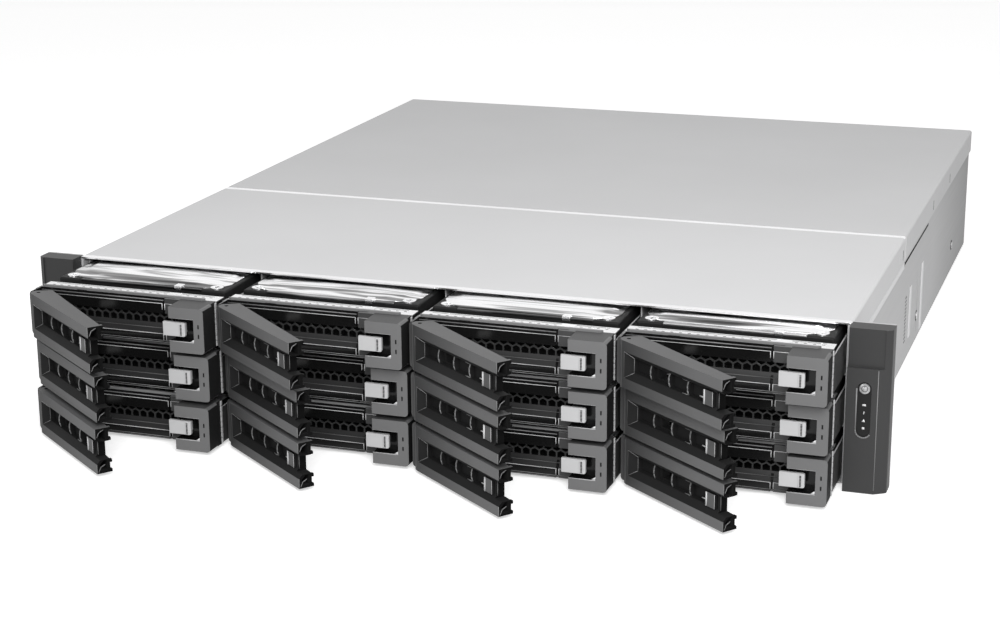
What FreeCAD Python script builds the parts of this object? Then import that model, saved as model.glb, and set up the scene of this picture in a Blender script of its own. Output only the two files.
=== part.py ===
import FreeCAD
import Part
import math
import os
from FreeCAD import Vector

# A two-unit rack storage server with four columns and three rows of hot-swap drive trays.
# Millimetres. X runs to the right, Y to the rear and Z up. The origin is the centre of the
# chassis floor's underside. Sizes run from the drive outwards: the drive sets its sled, the
# sled sets the tray and the bay pitch, and the bays set the chassis.

# Fits
SEAT = 0.1            # gap between pieces that are fixed together
SLIDE = 0.3           # gap beside a piece that slides or swings
RUN = 0.08            # radial gap of a pin in its bore
OVER = 1.0            # overrun of a cutting tool beyond what it cuts
FEW = 3               # facets to a quarter turn on rounds that repeat in every bay

# Drive, a standard 3.5 inch disk
DRIVE_W = 101.6
DRIVE_L = 147.0
DRIVE_H = 26.1
DRIVE_LID = 1.4
DRIVE_LID_INSET = 2.4
DRIVE_LID_CUT = 14.0

# Bays
COLUMNS = 4
ROWS = 3
TRAY_GAP = 1.6        # between neighbouring bezels
ROW_GAP = 2.8         # between bezels, one above another
ROW_CLEAR = 0.7       # between a drive and the sled above it
BAY_LIFT = 0.8        # lowest bezel above the chassis floor

# Sled, folded steel
SLED_T = 0.8
SLED_WALL_H = 20.0
SLED_SIDE_GAP = 1.2   # from the drive to the sled's wall, taken up by its screws' bosses
SLED_DROP = 0.3       # underside above the bezel's lower edge
DRIVE_SETBACK = 15.0  # from the sled's front wall to the drive
DRIVE_TAIL = 4.0      # drive beyond the sled's rear edge
STRIP_D = 10.0        # depth of the contact strip along the sled's upper front edge
SLED_WINDOW_RIM = 16.0
SLED_AIR_MARGIN = 0.4  # sled's air opening beyond the bezel's

# Bezel, moulded plastic
BEZEL_LAP = 0.8       # bezel beyond the sled on each side
BEZEL_D = 17.0
BEZEL_FLANGE_D = 11.0  # full-width depth, in front of the chassis
BEZEL_PROUD = 12.0    # front face in front of the chassis when the tray is home
BLOCK_W = 20.3        # latch block at the right
BLOCK_R = 2.0
RAIL_D = 3.5
RAIL_TOP = 8.4
RAIL_LOW = 10.5
RAMP_H = 5.5          # slope along the lower rail's upper front
RAMP_D = 2.0
RAIL_STEP_H = 2.9     # step down along the upper rail's front
RAIL_STEP_D = 1.6
CHEEK_T = 2.2
CHEEK_SETBACK = 6.0   # behind the block's face
POST_R = 2.1
POST_NECK = 3.8
RECESS_H = 12.6
RECESS_D = 7.0
RECESS_RIM = 5.9      # right of the recess
LED_W = 0.8
LED_H = 2.2
LED_PITCH = 5.3
LED_INSET = 3.1
LED_D = 0.6
RAIL_SLIT_W = 1.4      # upright slits in both rails, left of the block
RAIL_SLIT_D = 1.6
RAIL_SLIT_IN = 10.6

# Perforated grille behind the lever
GRILLE_T = 1.0
GRILLE_SETBACK = 2.0  # behind the rails' front
HEX_FLATS = 4.4
HEX_WEB = 0.9

# Lever, a thin moulding with a vented finger pocket
LEVER_T = 12.0        # depth at the hinge
LEVER_TIP_T = 7.4
LEVER_TIP_GAP = 1.8   # between the tip and the latch block as the lever closes
LEVER_EYE_R = 4.2
LEVER_EDGE = 0.1      # lever inside the bezel's upper and lower edges
LEVER_OPEN_DEG = 38.0
LEVER_RAIL_TOP = 5.6  # height of the front faces above and below the pocket
LEVER_RAIL_LOW = 5.3
LEVER_WALL = 1.5
LEVER_FLARE_D = 3.2   # the pocket's flared mouth
LEVER_FLARE_H = 3.1
LEVER_FLARE_X = 4.4
LEVER_STILE = 5.9     # from the lever's rounded end to the pocket's mouth
LEVER_HINGE_ROOM = 0.5
LEVER_FLANGE = 2.4    # hinge flanges above and below the post
LEVER_RIBS = 3
LEVER_RIB_T = 1.2
LEVER_RIB_FIRST = 19.0   # from the pivot
LEVER_RIB_PITCH = 14.6
LEVER_RIB_D = 4.0
LEVER_RIB_BOW = 0.9   # bow of a rib's front edge
LEVER_FLOOR_T = 1.4   # pocket's floor at the lever's back
LEVER_END_T = 1.4     # pocket's end wall
LEVER_VENT_INSET = 2.4  # vent in the floor, from the ribs beside it
LEVER_VENT_H = 5.0
TIP_HOOK_L = 2.0      # small hooks behind the tip
TIP_HOOK_D = 1.2
TIP_HOOK_H = 1.6
LEVER_NOTCH_L = 6.4
LEVER_NOTCH_GAP = 1.2
CATCH_L = 6.8
CATCH_GAP = 2.6       # between the catch and the tip's notch
CATCH_H = 7.4
CATCH_D = 5.0
CATCH_INSET = 2.0     # behind the lever's front
PIN_R = 1.0
PIN_INSET = 0.5

# Latch
LATCH_H = 7.6
LATCH_FRONT = 0.8
LATCH_T = 2.0
LATCH_NOSE = 4.0      # left of the block
LATCH_TRAVEL = 3.0
LATCH_ROOM = 2.5      # right of the latch at the end of its travel
LATCH_LIP = 1.6
LATCH_LIP_H = 0.5
LATCH_STEM_H = 5.0
LATCH_STEM_L = 7.0

# How far each tray stands out at rest, row by row from the top
TRAY_PULLS = ((52.5, 45.5, 44.5, 38.0),
              (49.0, 38.5, 43.5, 30.5),
              (51.5, 38.5, 43.0, 28.5))

# Chassis
SHEET = 1.0
BEND_R = 1.6
CAGE_T = 0.8
CAGE_SIDE = 0.2       # cage plate to chassis wall
GUIDE_REACH = 1.6     # guide rib under a sled's edge
GUIDE_T = 0.7
GUIDE_FRONT = 1.0     # cage behind the bezel of a tray that is home
COVER_GAP = 0.15
COVER_FLANGE = 15.0
COVER_PAST = 16.0     # front cover beyond the backplane
SEAM = 0.8
SEAM_NOTCH = 3.0
HOOK_SLIT_W = 0.8     # slits over the hooks in the covers' flanges
HOOK_SLIT_H = 5.0
HOOK_SLIT_DROP = 5.5
HOOK_INSET = 24.0     # hooks from the ends of a cover
HOOK_PITCH_MAX = 150.0
REAR_SECTION_D = 332.0
REAR_OVERHANG = 2.0
REAR_LIP = 2.2
TOP_CLEAR = 0.4

# Rack flanges and ears
EAR_W = 21.85
EAR_PROUD = 10.4
EAR_SEAT = 3.0        # rack flange behind the chassis front edge
EAR_WALL = 2.2
EAR_BEVEL_W = 6.0
EAR_BEVEL_D = 4.0
EAR_STEP_Z = 66.0
EAR_STEP_D = 2.6
EAR_STEP_RIM = 3.4
EAR_R = 2.0
FLANGE_T = 1.5
RACK_SLOT_W = 6.8
RACK_SLOT_L = 10.3
RACK_SLOT_INSET = 8.75   # slot centre from the flange's outer edge
RACK_SLOT_PITCH = 76.2

# Status panel on the right ear
PILL_W = 7.0
PILL_H = 29.0
PILL_TOP_Z = 59.0
PILL_D = 1.2
PILL_FROM_INNER = 9.2
LENS_T = 0.7
BUTTON_R = 2.7
BUTTON_PROUD = 0.4
BUTTON_FLANGE = 0.9
BUTTON_BACK = 1.2

# Rail fixings on the side walls
RAIL_HOLE_R = 2.1
RAIL_HOLE_FIRST = 60.0
RAIL_HOLE_PITCH = 375.0
RAIL_HOLE_Z = 22.0
RAIL_SLOT_Y = 262.0
RAIL_SLOT_W = 3.0
RAIL_SLOT_H = 34.0
RAIL_SLOT_Z = 24.0

# Thumb screws through two tabs at the rear cover's rear edge
SCREW_HEAD_R = 4.0
SCREW_R = 1.5
SCREW_HEAD_T = 3.0
SCREW_DROP = 9.0
SCREW_X = (-88.0, 76.0)
SCREW_TAB_W = 16.0
SCREW_TAB_H = 15.0

# Backplane
BACKPLANE_T = 2.0
CONNECTOR_GAP = 1.0
CONNECTOR_W = 44.0
CONNECTOR_H = 5.2
CONNECTOR_D = 3.2
AIR_SLOT_H = 9.0
AIR_SLOT_W = 88.0

# Fans
FAN_COUNT = 3
FAN_D = 25.0
FAN_CLEAR = 2.0
FAN_PITCH = 98.0
FAN_FIRST_X = -170.0
FAN_GAP_Y = 24.0
FAN_RIM = 1.8
FAN_LAP = 4.0         # fan plate over the housing's edges
FAN_SIDES = 24        # facets round a fan housing's duct
FAN_HUB_R = 17.0
FAN_BLADES = 7
FAN_TIP_GAP = 1.5
FAN_BLADE_T = 1.4
FAN_STRUT_W = 4.0
FAN_STRUT_T = 3.0
FAN_BLADE_DEG = 35.0
FAN_PLATE_T = 1.0
FAN_FOOT_D = 8.0
FAN_BLADE_DEPTH = 16.0
FAN_ROOT = 2.0        # blade inside the hub
FAN_SEAT = 1.0        # struts inside the housing's walls

# Power supplies
PSU_W = 76.0
PSU_L = 200.0
PSU_GAP = 0.8
PSU_PROUD = 1.5
PSU_SIDE = 3.0
PSU_EDGE_R = 1.0
SHELF_T = 1.0
INLET_W = 22.5
INLET_H = 14.5
INLET_D = 13.0
INLET_RIM = 2.2
INLET_PROUD = 1.6
INLET_INSET = 15.5
PSU_FAN_R = 15.0
PSU_FAN_DEEP = 2.0
PSU_FAN_HUB = 6.0
PSU_FAN_BAR = 1.4
PULL_W = 5.0
PULL_REACH = 22.0
PULL_T = 4.0
PULL_SPAN = 30.0
PSU_LATCH_W = 6.0
PSU_LATCH_H = 6.0
PSU_LATCH_T = 6.0
PSU_LATCH_TRAVEL = 3.0

# Mainboard
BOARD_W = 244.0
BOARD_D = 190.0
BOARD_T = 1.6
BOARD_LIFT = 7.0
BOARD_SIDE = 8.0
BOARD_REAR = 2.0
STANDOFF_R = 2.5
STANDOFF_INSET = 10.0
SINK_SIZE = 70.0
SINK_BASE = 5.0
SINK_H = 26.0
SINK_FINS = 12
SINK_FIN_T = 1.2
SINK_FROM_LEFT = 60.0
SINK_FROM_REAR = 70.0
DIMM_COUNT = 2
DIMM_L = 133.0
DIMM_H = 30.0
DIMM_T = 3.4
DIMM_PITCH = 10.0
DIMM_SOCKET_H = 8.0
DIMM_SOCKET_W = 6.5
DIMM_FROM_REAR = 40.0
DIMM_FROM_SINK = 10.0

# Rear panel
IO_FROM_LEFT = 14.0
IO_W = 118.0
IO_H = 19.0
SLOT_COUNT = 4
SLOT_OPEN_W = 14.0
SLOT_PITCH = 20.3
SLOT_H = 66.0
SLOT_COVER_LAP = 2.0
SLOT_COVER_T = 0.9
SLOT_FROM_LEFT = 158.0
VENT_COLUMNS = 9
VENT_ROWS = 2
VENT_W = 4.0
VENT_H = 16.0
VENT_PITCH_X = 8.0
VENT_PITCH_Z = 22.0
VENT_FROM_LEFT = 22.0
VENT_Z = 36.0

# Ports on the mainboard's rear edge
LAN_COUNT = 2
LAN_W = 16.0
LAN_H = 13.6
LAN_D = 21.0
LAN_MOUTH_W = 11.9
LAN_MOUTH_H = 8.2
LAN_MOUTH_D = 12.0
USB_W = 14.4
USB_H = 15.6
USB_D = 17.5
USB_MOUTH_W = 12.2
USB_MOUTH_H = 4.8
USB_MOUTH_D = 9.0
VGA_W = 30.8
VGA_H = 12.5
VGA_D = 14.0
VGA_SHELL_W = 16.9
VGA_SHELL_H = 8.4
VGA_SHELL_D = 5.6
VGA_SLANT = 1.4
PORT_GAP = 6.0

# Worked out from the sizes above: tray
SLED_W = DRIVE_W + 2 * (SLED_SIDE_GAP + SLED_T)
TRAY_W = SLED_W + 2 * BEZEL_LAP
COL_PITCH = TRAY_W + TRAY_GAP
ROW_PITCH = SLED_T + DRIVE_H + ROW_CLEAR
BEZEL_H = ROW_PITCH - ROW_GAP
SLED_L = DRIVE_SETBACK + DRIVE_L - DRIVE_TAIL
BLOCK_X = TRAY_W - BLOCK_W
RAIL_Y = BEZEL_D - RAIL_D
MID_Z = BEZEL_H / 2
PIVOT_X = CHEEK_T + SLIDE + LEVER_EYE_R
PIVOT_Y = LEVER_EYE_R
TIP_BACK = LEVER_TIP_T + TIP_HOOK_D
LEVER_REACH = math.sqrt((BLOCK_X - LEVER_TIP_GAP - PIVOT_X) ** 2 - (TIP_BACK - PIVOT_Y) ** 2)
LEVER_X1 = PIVOT_X + LEVER_REACH
LATCH_L = LATCH_NOSE + BLOCK_W - RECESS_RIM - LATCH_TRAVEL - LATCH_ROOM
LEVER_LOW = LEVER_EDGE
LEVER_HIGH = BEZEL_H - LEVER_EDGE

# Worked out: chassis
INNER_W = COLUMNS * COL_PITCH - TRAY_GAP - 2 * BEZEL_LAP + 2 * (SLIDE + CAGE_T + CAGE_SIDE)
BODY_W = INNER_W + 2 * SHEET
COVER_W = BODY_W + 2 * (COVER_GAP + SHEET)
BODY_H = SHEET + BAY_LIFT + ROWS * ROW_PITCH + TOP_CLEAR + SHEET
WALL_TOP = BODY_H - SHEET - COVER_GAP
COVER_LOW = BODY_H - COVER_FLANGE
SCREW_L = REAR_OVERHANG + SHEET
BACKPLANE_IN = BEZEL_D + DRIVE_SETBACK + DRIVE_L + CONNECTOR_GAP + CONNECTOR_D - BEZEL_PROUD
FRONT_COVER_D = BACKPLANE_IN + COVER_PAST
BODY_D = FRONT_COVER_D + REAR_SECTION_D
FRONT_Y = -BODY_D / 2
REAR_Y = BODY_D / 2
BACKPLANE_Y = FRONT_Y + BACKPLANE_IN
TRAY_HOME_Y = FRONT_Y - BEZEL_PROUD
TRAY_X = -(COLUMNS * COL_PITCH - TRAY_GAP) / 2
TRAY_Z = SHEET + BAY_LIFT
RACK_SPAN = COVER_W + 2 * EAR_W
EAR_X = COVER_W / 2
EAR_FRONT = FRONT_Y - EAR_PROUD
FLANGE_Y = FRONT_Y + EAR_SEAT
FLOOR_Z = SHEET
CEILING_Z = BODY_H - SHEET
PANEL_TOP = CEILING_Z - SEAT
PANEL_Y = REAR_Y - SHEET

# Worked out: inside the chassis
FAN_SIZE = CEILING_Z - FLOOR_Z - 2 * FAN_CLEAR
FAN_Y = BACKPLANE_Y + BACKPLANE_T + FAN_GAP_Y
FAN_Z = (FLOOR_Z + CEILING_Z) / 2
FAN_DUCT_R = FAN_SIZE / 2 - FAN_RIM
PSU_X1 = INNER_W / 2 - PSU_SIDE
PSU_X0 = PSU_X1 - PSU_W
PSU_TOP = BODY_H - REAR_LIP - SLIDE
PSU_H = (PSU_TOP - FLOOR_Z - SHELF_T - 3 * PSU_GAP) / 2
PSU_Y0 = REAR_Y - PSU_L
PSU_Y1 = REAR_Y + PSU_PROUD
BOARD_X = -INNER_W / 2 + BOARD_SIDE
BOARD_Y1 = PANEL_Y - BOARD_REAR
BOARD_Z = FLOOR_Z + BOARD_LIFT
BOARD_TOP = BOARD_Z + BOARD_T
IO_X = -INNER_W / 2 + IO_FROM_LEFT
PILL_X = EAR_X + PILL_FROM_INNER
PILL_Z = PILL_TOP_Z - PILL_H / 2
BUTTON_Z = PILL_TOP_Z - PILL_W / 2


def block(x0, x1, y0, y1, z0, z1):
    """A box between two corners."""
    return Part.makeBox(x1 - x0, y1 - y0, z1 - z0, Vector(x0, y0, z0))


def rod(radius, length, base, direction):
    return Part.makeCylinder(radius, length, base, direction)


def polygon(points):
    """A flat face with straight sides through the points."""
    return Part.Face(Part.makePolygon([Vector(*p) for p in points + points[:1]]))


def fuse(first, *others):
    return first.multiFuse(list(others)).removeSplitter()


def cut(solid, *tools):
    return solid.cut(Part.makeCompound(list(tools)))


def round_edges(solid, radius, wanted):
    """Fillets the straight edges that the test picks by their middle point and direction."""
    picked = []
    for edge in solid.Edges:
        if edge.Curve.TypeId != "Part::GeomLine":
            continue
        middle = edge.CenterOfMass
        along = (edge.Vertexes[-1].Point - edge.Vertexes[0].Point).normalize()
        if wanted(middle, along):
            picked.append(edge)
    return solid.makeFillet(radius, picked)


def near(a, b):
    return abs(a - b) < 1e-4


def along_x(direction):
    return abs(direction.x) > 0.999


def along_y(direction):
    return abs(direction.y) > 0.999


def along_z(direction):
    return abs(direction.z) > 0.999


def slot_prism(length, width, depth, centre, upright=False):
    """A round-ended slot that runs along X, or along Z if upright, cut through along Y."""
    half = (length - width) / 2
    step = Vector(0, 0, half) if upright else Vector(half, 0, 0)
    ends = [rod(width / 2, depth, centre + s, Vector(0, 1, 0)) for s in (step, step * -1)]
    across = (width / 2, half) if upright else (half, width / 2)
    middle = block(centre.x - across[0], centre.x + across[0], centre.y, centre.y + depth,
                   centre.z - across[1], centre.z + across[1])
    return fuse(middle, *ends)


def ring_points(radius, sides, start_deg=0.0, turn_deg=360.0):
    """Corners spaced evenly round a circle, or along a part of it with both its ends."""
    count = sides if turn_deg == 360.0 else sides + 1
    angles = [math.radians(start_deg + turn_deg * k / sides) for k in range(count)]
    return [(radius * math.cos(a), radius * math.sin(a)) for a in angles]


def upright_prism(corner, sides, x, y, z0, z1):
    points = [(x + u, y + v, z0) for u, v in ring_points(corner, sides)]
    return polygon(points).extrude(Vector(0, 0, z1 - z0))


def prism_along_y(corner, sides, centre, depth, start_deg=0.0):
    points = [(centre.x + u, centre.y, centre.z + v) for u, v in ring_points(corner, sides, start_deg)]
    return polygon(points).extrude(Vector(0, depth, 0))


def hexagon(flats, depth, centre):
    """A six-sided prism along Y with two upright sides."""
    return prism_along_y(flats / math.sqrt(3), 6, centre, depth, 30)


def pin_bore():
    """The bore for a tray's hinge pin; its flats clear the pin."""
    sides = 4 * FEW
    return upright_prism((PIN_R + RUN) / math.cos(math.pi / sides), sides, PIVOT_X, PIVOT_Y, 0, BEZEL_H)


def rounded_side(x0, x1, z0, z1, radius, y0, y1):
    """A plate along Y whose corners at x1 are rounded; x1 may lie to the left of x0."""
    side = 1 if x1 > x0 else -1
    low = [(x1 + side * (u - radius), z0 + radius + v) for u, v in ring_points(radius, FEW, -90, 90)]
    high = [(x1 + side * (u - radius), z1 - radius + v) for u, v in ring_points(radius, FEW, 0, 90)]
    outline = [(x0, z0)] + low + high + [(x0, z1)]
    return polygon([(x, y0, z) for x, z in outline]).extrude(Vector(0, y1 - y0, 0))


# Tray pieces. Each is built in the tray's own frame: X from its left edge, Y from the
# bezel's front face and Z from the bezel's lower edge.

def rail_ramp():
    """The wedge taken off the lower rail's upper front edge."""
    rise = OVER * RAMP_H / RAMP_D
    low, high = RAIL_LOW - RAMP_H - rise, RAIL_LOW + rise
    front, back = RAIL_Y - OVER, RAIL_Y + RAMP_D + OVER
    x0 = PIVOT_X + POST_R
    wedge = polygon([(x0, front, low), (x0, back, high), (x0, front, high)])
    return wedge.extrude(Vector(BLOCK_X - x0, 0, 0))


def bezel():
    """The tray's moulded front: two rails between a hinge cheek and a latch block."""
    left, right = BEZEL_LAP, TRAY_W - BEZEL_LAP
    window = block(PIVOT_X + POST_R, BLOCK_X, 0, BEZEL_D + OVER, RAIL_LOW, BEZEL_H - RAIL_TOP)
    frame = cut(block(left, right, RAIL_Y, BEZEL_D, 0, BEZEL_H), window)
    shank = block(BLOCK_X, right, BEZEL_FLANGE_D, RAIL_Y, 0, BEZEL_H)
    face = rounded_side(BLOCK_X, TRAY_W, 0, BEZEL_H, BLOCK_R, 0, BEZEL_FLANGE_D)
    cheek = rounded_side(CHEEK_T, 0, 0, BEZEL_H, BLOCK_R, CHEEK_SETBACK, BEZEL_FLANGE_D)
    cheek_root = block(left, CHEEK_T, BEZEL_FLANGE_D, RAIL_Y, 0, BEZEL_H)
    post_low, post_high = LEVER_LOW + LEVER_FLANGE + SLIDE, LEVER_HIGH - LEVER_FLANGE - SLIDE
    post = upright_prism(POST_R, 4 * FEW, PIVOT_X, PIVOT_Y, post_low, post_high)
    neck = block(PIVOT_X - POST_NECK / 2, PIVOT_X + POST_NECK / 2, PIVOT_Y, RAIL_Y, post_low, post_high)
    body = fuse(frame, shank, face, cheek, cheek_root, post, neck)
    recess = block(BLOCK_X - OVER, TRAY_W - RECESS_RIM, -OVER, RECESS_D,
                   MID_Z - RECESS_H / 2, MID_Z + RECESS_H / 2)
    slit_x = BLOCK_X - RAIL_SLIT_IN
    slit = block(slit_x, slit_x + RAIL_SLIT_W, RAIL_Y - OVER, RAIL_Y + RAIL_SLIT_D, -OVER, BEZEL_H + OVER)
    step = block(CHEEK_T, slit_x, RAIL_Y - OVER, RAIL_Y + RAIL_STEP_D, BEZEL_H - RAIL_STEP_H, BEZEL_H + OVER)
    tools = [recess, pin_bore(), slit, step, rail_ramp()]
    for side in (-1, 1):
        x, z = TRAY_W - LED_INSET, MID_Z + side * LED_PITCH / 2
        tools.append(block(x - LED_W / 2, x + LED_W / 2, -OVER, LED_D, z - LED_H / 2, z + LED_H / 2))
    return cut(body, *tools)


def grille():
    """A plate with a row of six-sided cells."""
    x0, x1 = PIVOT_X + POST_R + SEAT, BLOCK_X - SEAT
    z0, z1 = RAIL_LOW + SEAT, BEZEL_H - RAIL_TOP - SEAT
    y0 = RAIL_Y + GRILLE_SETBACK
    plate = block(x0, x1, y0, y0 + GRILLE_T, z0, z1)
    pitch = HEX_FLATS + HEX_WEB
    cells_z = (z0 + z1) / 2
    start = x0 + HEX_WEB + pitch / 2
    holes = []
    for k in range(int((x1 - x0 - 2 * HEX_WEB) // pitch)):
        holes.append(hexagon(HEX_FLATS, GRILLE_T + 2 * OVER, Vector(start + k * pitch, y0 - OVER, cells_z)))
    return cut(plate, *holes)


def sled():
    """Floor and side walls folded from one sheet, with a front wall and its contact strip."""
    x0, x1, z0 = BEZEL_LAP, BEZEL_LAP + SLED_W, SLED_DROP
    y0, y1 = BEZEL_D, BEZEL_D + SLED_L
    outline = [(x0, y0, z0 + SLED_WALL_H), (x0, y0, z0), (x1, y0, z0), (x1, y0, z0 + SLED_WALL_H),
               (x1 - SLED_T, y0, z0 + SLED_WALL_H), (x1 - SLED_T, y0, z0 + SLED_T),
               (x0 + SLED_T, y0, z0 + SLED_T), (x0 + SLED_T, y0, z0 + SLED_WALL_H)]
    channel = polygon(outline).extrude(Vector(0, SLED_L, 0))
    top = BEZEL_H - SLED_DROP
    wall = block(x0, x1, y0, y0 + SLED_T, z0, top)
    strip = block(x0, x1, y0, y0 + STRIP_D, top - SLED_T, top)
    body = fuse(channel, wall, strip)
    spare = SLED_AIR_MARGIN
    air = block(PIVOT_X + POST_R - spare, BLOCK_X + spare, y0 - OVER, y0 + SLED_T + OVER,
                RAIL_LOW - spare, BEZEL_H - RAIL_TOP + spare)
    rim = SLED_WINDOW_RIM
    middle = (y0 + DRIVE_SETBACK + y1) / 2
    windows = [block(x0 + rim, x1 - rim, a, b, z0 - OVER, z0 + SLED_T + OVER)
               for a, b in ((y0 + DRIVE_SETBACK + rim, middle - rim / 2), (middle + rim / 2, y1 - rim))]
    return cut(body, air, *windows)


def drive():
    """A cast body with a lower, corner-cut lid."""
    x0 = BEZEL_LAP + SLED_T + SLED_SIDE_GAP
    x1, y0, z0 = x0 + DRIVE_W, BEZEL_D + DRIVE_SETBACK, SLED_DROP + SLED_T
    y1, z1 = y0 + DRIVE_L, z0 + DRIVE_H - DRIVE_LID
    casting = block(x0, x1, y0, y1, z0, z1)
    a, c = DRIVE_LID_INSET, DRIVE_LID_CUT
    lid = [(x0 + c, y0 + a, z1), (x1 - c, y0 + a, z1), (x1 - a, y0 + c, z1), (x1 - a, y1 - a, z1),
           (x0 + a, y1 - a, z1), (x0 + a, y0 + c, z1)]
    return fuse(casting, polygon(lid).extrude(Vector(0, 0, DRIVE_LID)))


def hinge_pin():
    length = LEVER_HIGH - LEVER_LOW - 2 * PIN_INSET
    return rod(PIN_R, length, Vector(PIVOT_X, PIVOT_Y, LEVER_LOW + PIN_INSET), Vector(0, 0, 1))


def lever_outline(z):
    """The lever seen from above: a tapered bar whose hinge end is rounded about the pivot."""
    end = ring_points(LEVER_EYE_R, FEW, 180, 90)
    plan = [(PIVOT_X + u, PIVOT_Y + v) for u, v in end]
    plan += [(LEVER_X1, 0), (LEVER_X1, LEVER_TIP_T), (PIVOT_X, LEVER_T)]
    return polygon([(x, y, z) for x, y in plan])


def flared_mouth(x0, x1, z0, z1):
    """The pocket's mouth, which narrows from the lever's front to the duct behind it."""
    def rim(y, left, inset):
        corners = [(left, y, z0 + inset), (x1, y, z0 + inset), (x1, y, z1 - inset), (left, y, z1 - inset)]
        return Part.makePolygon([Vector(*c) for c in corners + corners[:1]])
    over_x, over_z = OVER * LEVER_FLARE_X / LEVER_FLARE_D, OVER * LEVER_FLARE_H / LEVER_FLARE_D
    outer = rim(-OVER, x0 - over_x, -over_z)
    inner = rim(LEVER_FLARE_D, x0 + LEVER_FLARE_X, LEVER_FLARE_H)
    return Part.makeLoft([outer, inner], True, True)


def rail_hollow(x0, x1, z_out, z_mouth, z_duct):
    """The hollow behind one of the lever's front faces, open at the tip."""
    t = LEVER_WALL if z_mouth > z_out else -LEVER_WALL
    back = LEVER_TIP_T - LEVER_WALL
    section = [(back, z_out + t), (LEVER_WALL, z_out + t), (LEVER_WALL, z_mouth - t / 2),
               (LEVER_FLARE_D + LEVER_WALL / 2, z_duct - t), (back, z_duct - t)]
    return polygon([(x0, y, z) for y, z in section]).extrude(Vector(x1 - x0, 0, 0))


def tip_hooks():
    """Small hooks behind the tip, two on each of the lever's rails."""
    x0, x1 = LEVER_X1 - TIP_HOOK_L, LEVER_X1
    y0 = LEVER_TIP_T - LEVER_WALL
    lows = (LEVER_LOW, LEVER_LOW + LEVER_RAIL_LOW,
            LEVER_HIGH - LEVER_RAIL_TOP - TIP_HOOK_H, LEVER_HIGH - TIP_HOOK_H)
    return [block(x0, x1, y0, TIP_BACK, z, z + TIP_HOOK_H) for z in lows]


def lever_rib(x, z0, z1):
    """An upright bar across the duct with a bowed front edge."""
    y0, y1 = LEVER_FLARE_D, LEVER_FLARE_D + LEVER_RIB_D
    side = [(y1, z1), (y1, z0)]
    for k in range(FEW + 1):
        share = k / FEW
        side.append((y0 + LEVER_RIB_BOW * (2 * share - 1) ** 2, z0 + (z1 - z0) * share))
    return polygon([(x, y, z) for y, z in side]).extrude(Vector(LEVER_RIB_T, 0, 0))


def lever():
    """The swinging front of a tray, closed: a hollow bar with a flared, ribbed finger pocket."""
    bar = lever_outline(LEVER_LOW).extrude(Vector(0, 0, LEVER_HIGH - LEVER_LOW))
    mouth_x = PIVOT_X - LEVER_EYE_R + LEVER_STILE
    mouth_z0, mouth_z1 = LEVER_LOW + LEVER_RAIL_LOW, LEVER_HIGH - LEVER_RAIL_TOP
    duct_x = mouth_x + LEVER_FLARE_X
    duct_z0, duct_z1 = mouth_z0 + LEVER_FLARE_H, mouth_z1 - LEVER_FLARE_H
    past = LEVER_X1 + OVER
    notch_x = LEVER_X1 - LEVER_NOTCH_L
    floor_y = LEVER_TIP_T - LEVER_FLOOR_T
    duct = block(duct_x, notch_x - LEVER_END_T, LEVER_FLARE_D - OVER, floor_y, duct_z0, duct_z1)
    room_x = PIVOT_X + POST_R + LEVER_HINGE_ROOM
    room_y = PIVOT_Y - POST_R - LEVER_HINGE_ROOM
    hinge_room = block(PIVOT_X - LEVER_EYE_R - OVER, room_x, room_y, LEVER_T + OVER,
                       LEVER_LOW + LEVER_FLANGE, LEVER_HIGH - LEVER_FLANGE)
    notch_half = LATCH_H / 2 + LEVER_NOTCH_GAP
    notch = block(notch_x, past, -OVER, LEVER_T + OVER, MID_Z - notch_half, MID_Z + notch_half)
    rib_x = [PIVOT_X + LEVER_RIB_FIRST + k * LEVER_RIB_PITCH for k in range(LEVER_RIBS)]
    middle = (duct_z0 + duct_z1) / 2
    vent = block(rib_x[0] + LEVER_RIB_T + LEVER_VENT_INSET, rib_x[1] - LEVER_VENT_INSET, floor_y - OVER,
                 LEVER_T + OVER, middle - LEVER_VENT_H / 2, middle + LEVER_VENT_H / 2)
    body = cut(bar, flared_mouth(mouth_x, past, mouth_z0, mouth_z1),
               duct, hinge_room, pin_bore(), notch, vent,
               rail_hollow(duct_x, past, LEVER_LOW, mouth_z0, duct_z0),
               rail_hollow(duct_x, past, LEVER_HIGH, mouth_z1, duct_z1))
    ribs = [lever_rib(x, duct_z0, duct_z1) for x in rib_x]
    catch_x = notch_x - CATCH_GAP
    catch = block(catch_x - CATCH_L, catch_x, CATCH_INSET, CATCH_INSET + CATCH_D,
                  middle - CATCH_H / 2, middle + CATCH_H / 2)
    return fuse(body, catch, *ribs, *tip_hooks())


def latch():
    x0 = BLOCK_X - LATCH_NOSE
    z0, z1 = MID_Z - LATCH_H / 2, MID_Z + LATCH_H / 2
    pad = rounded_side(x0, x0 + LATCH_L, z0, z1, LATCH_FRONT, LATCH_FRONT, LATCH_FRONT + LATCH_T)
    lip_x = x0 + LATCH_L - LATCH_LIP
    lip = block(lip_x - LATCH_LIP, lip_x, LATCH_FRONT - LATCH_LIP_H, LATCH_FRONT,
                z0 + LATCH_LIP_H, z1 - LATCH_LIP_H)
    stem = block(BLOCK_X + SLIDE, BLOCK_X + SLIDE + LATCH_STEM_L, LATCH_FRONT + LATCH_T, RECESS_D - SLIDE,
                 MID_Z - LATCH_STEM_H / 2, MID_Z + LATCH_STEM_H / 2)
    return fuse(pad, lip, stem)


# Chassis pieces

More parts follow.
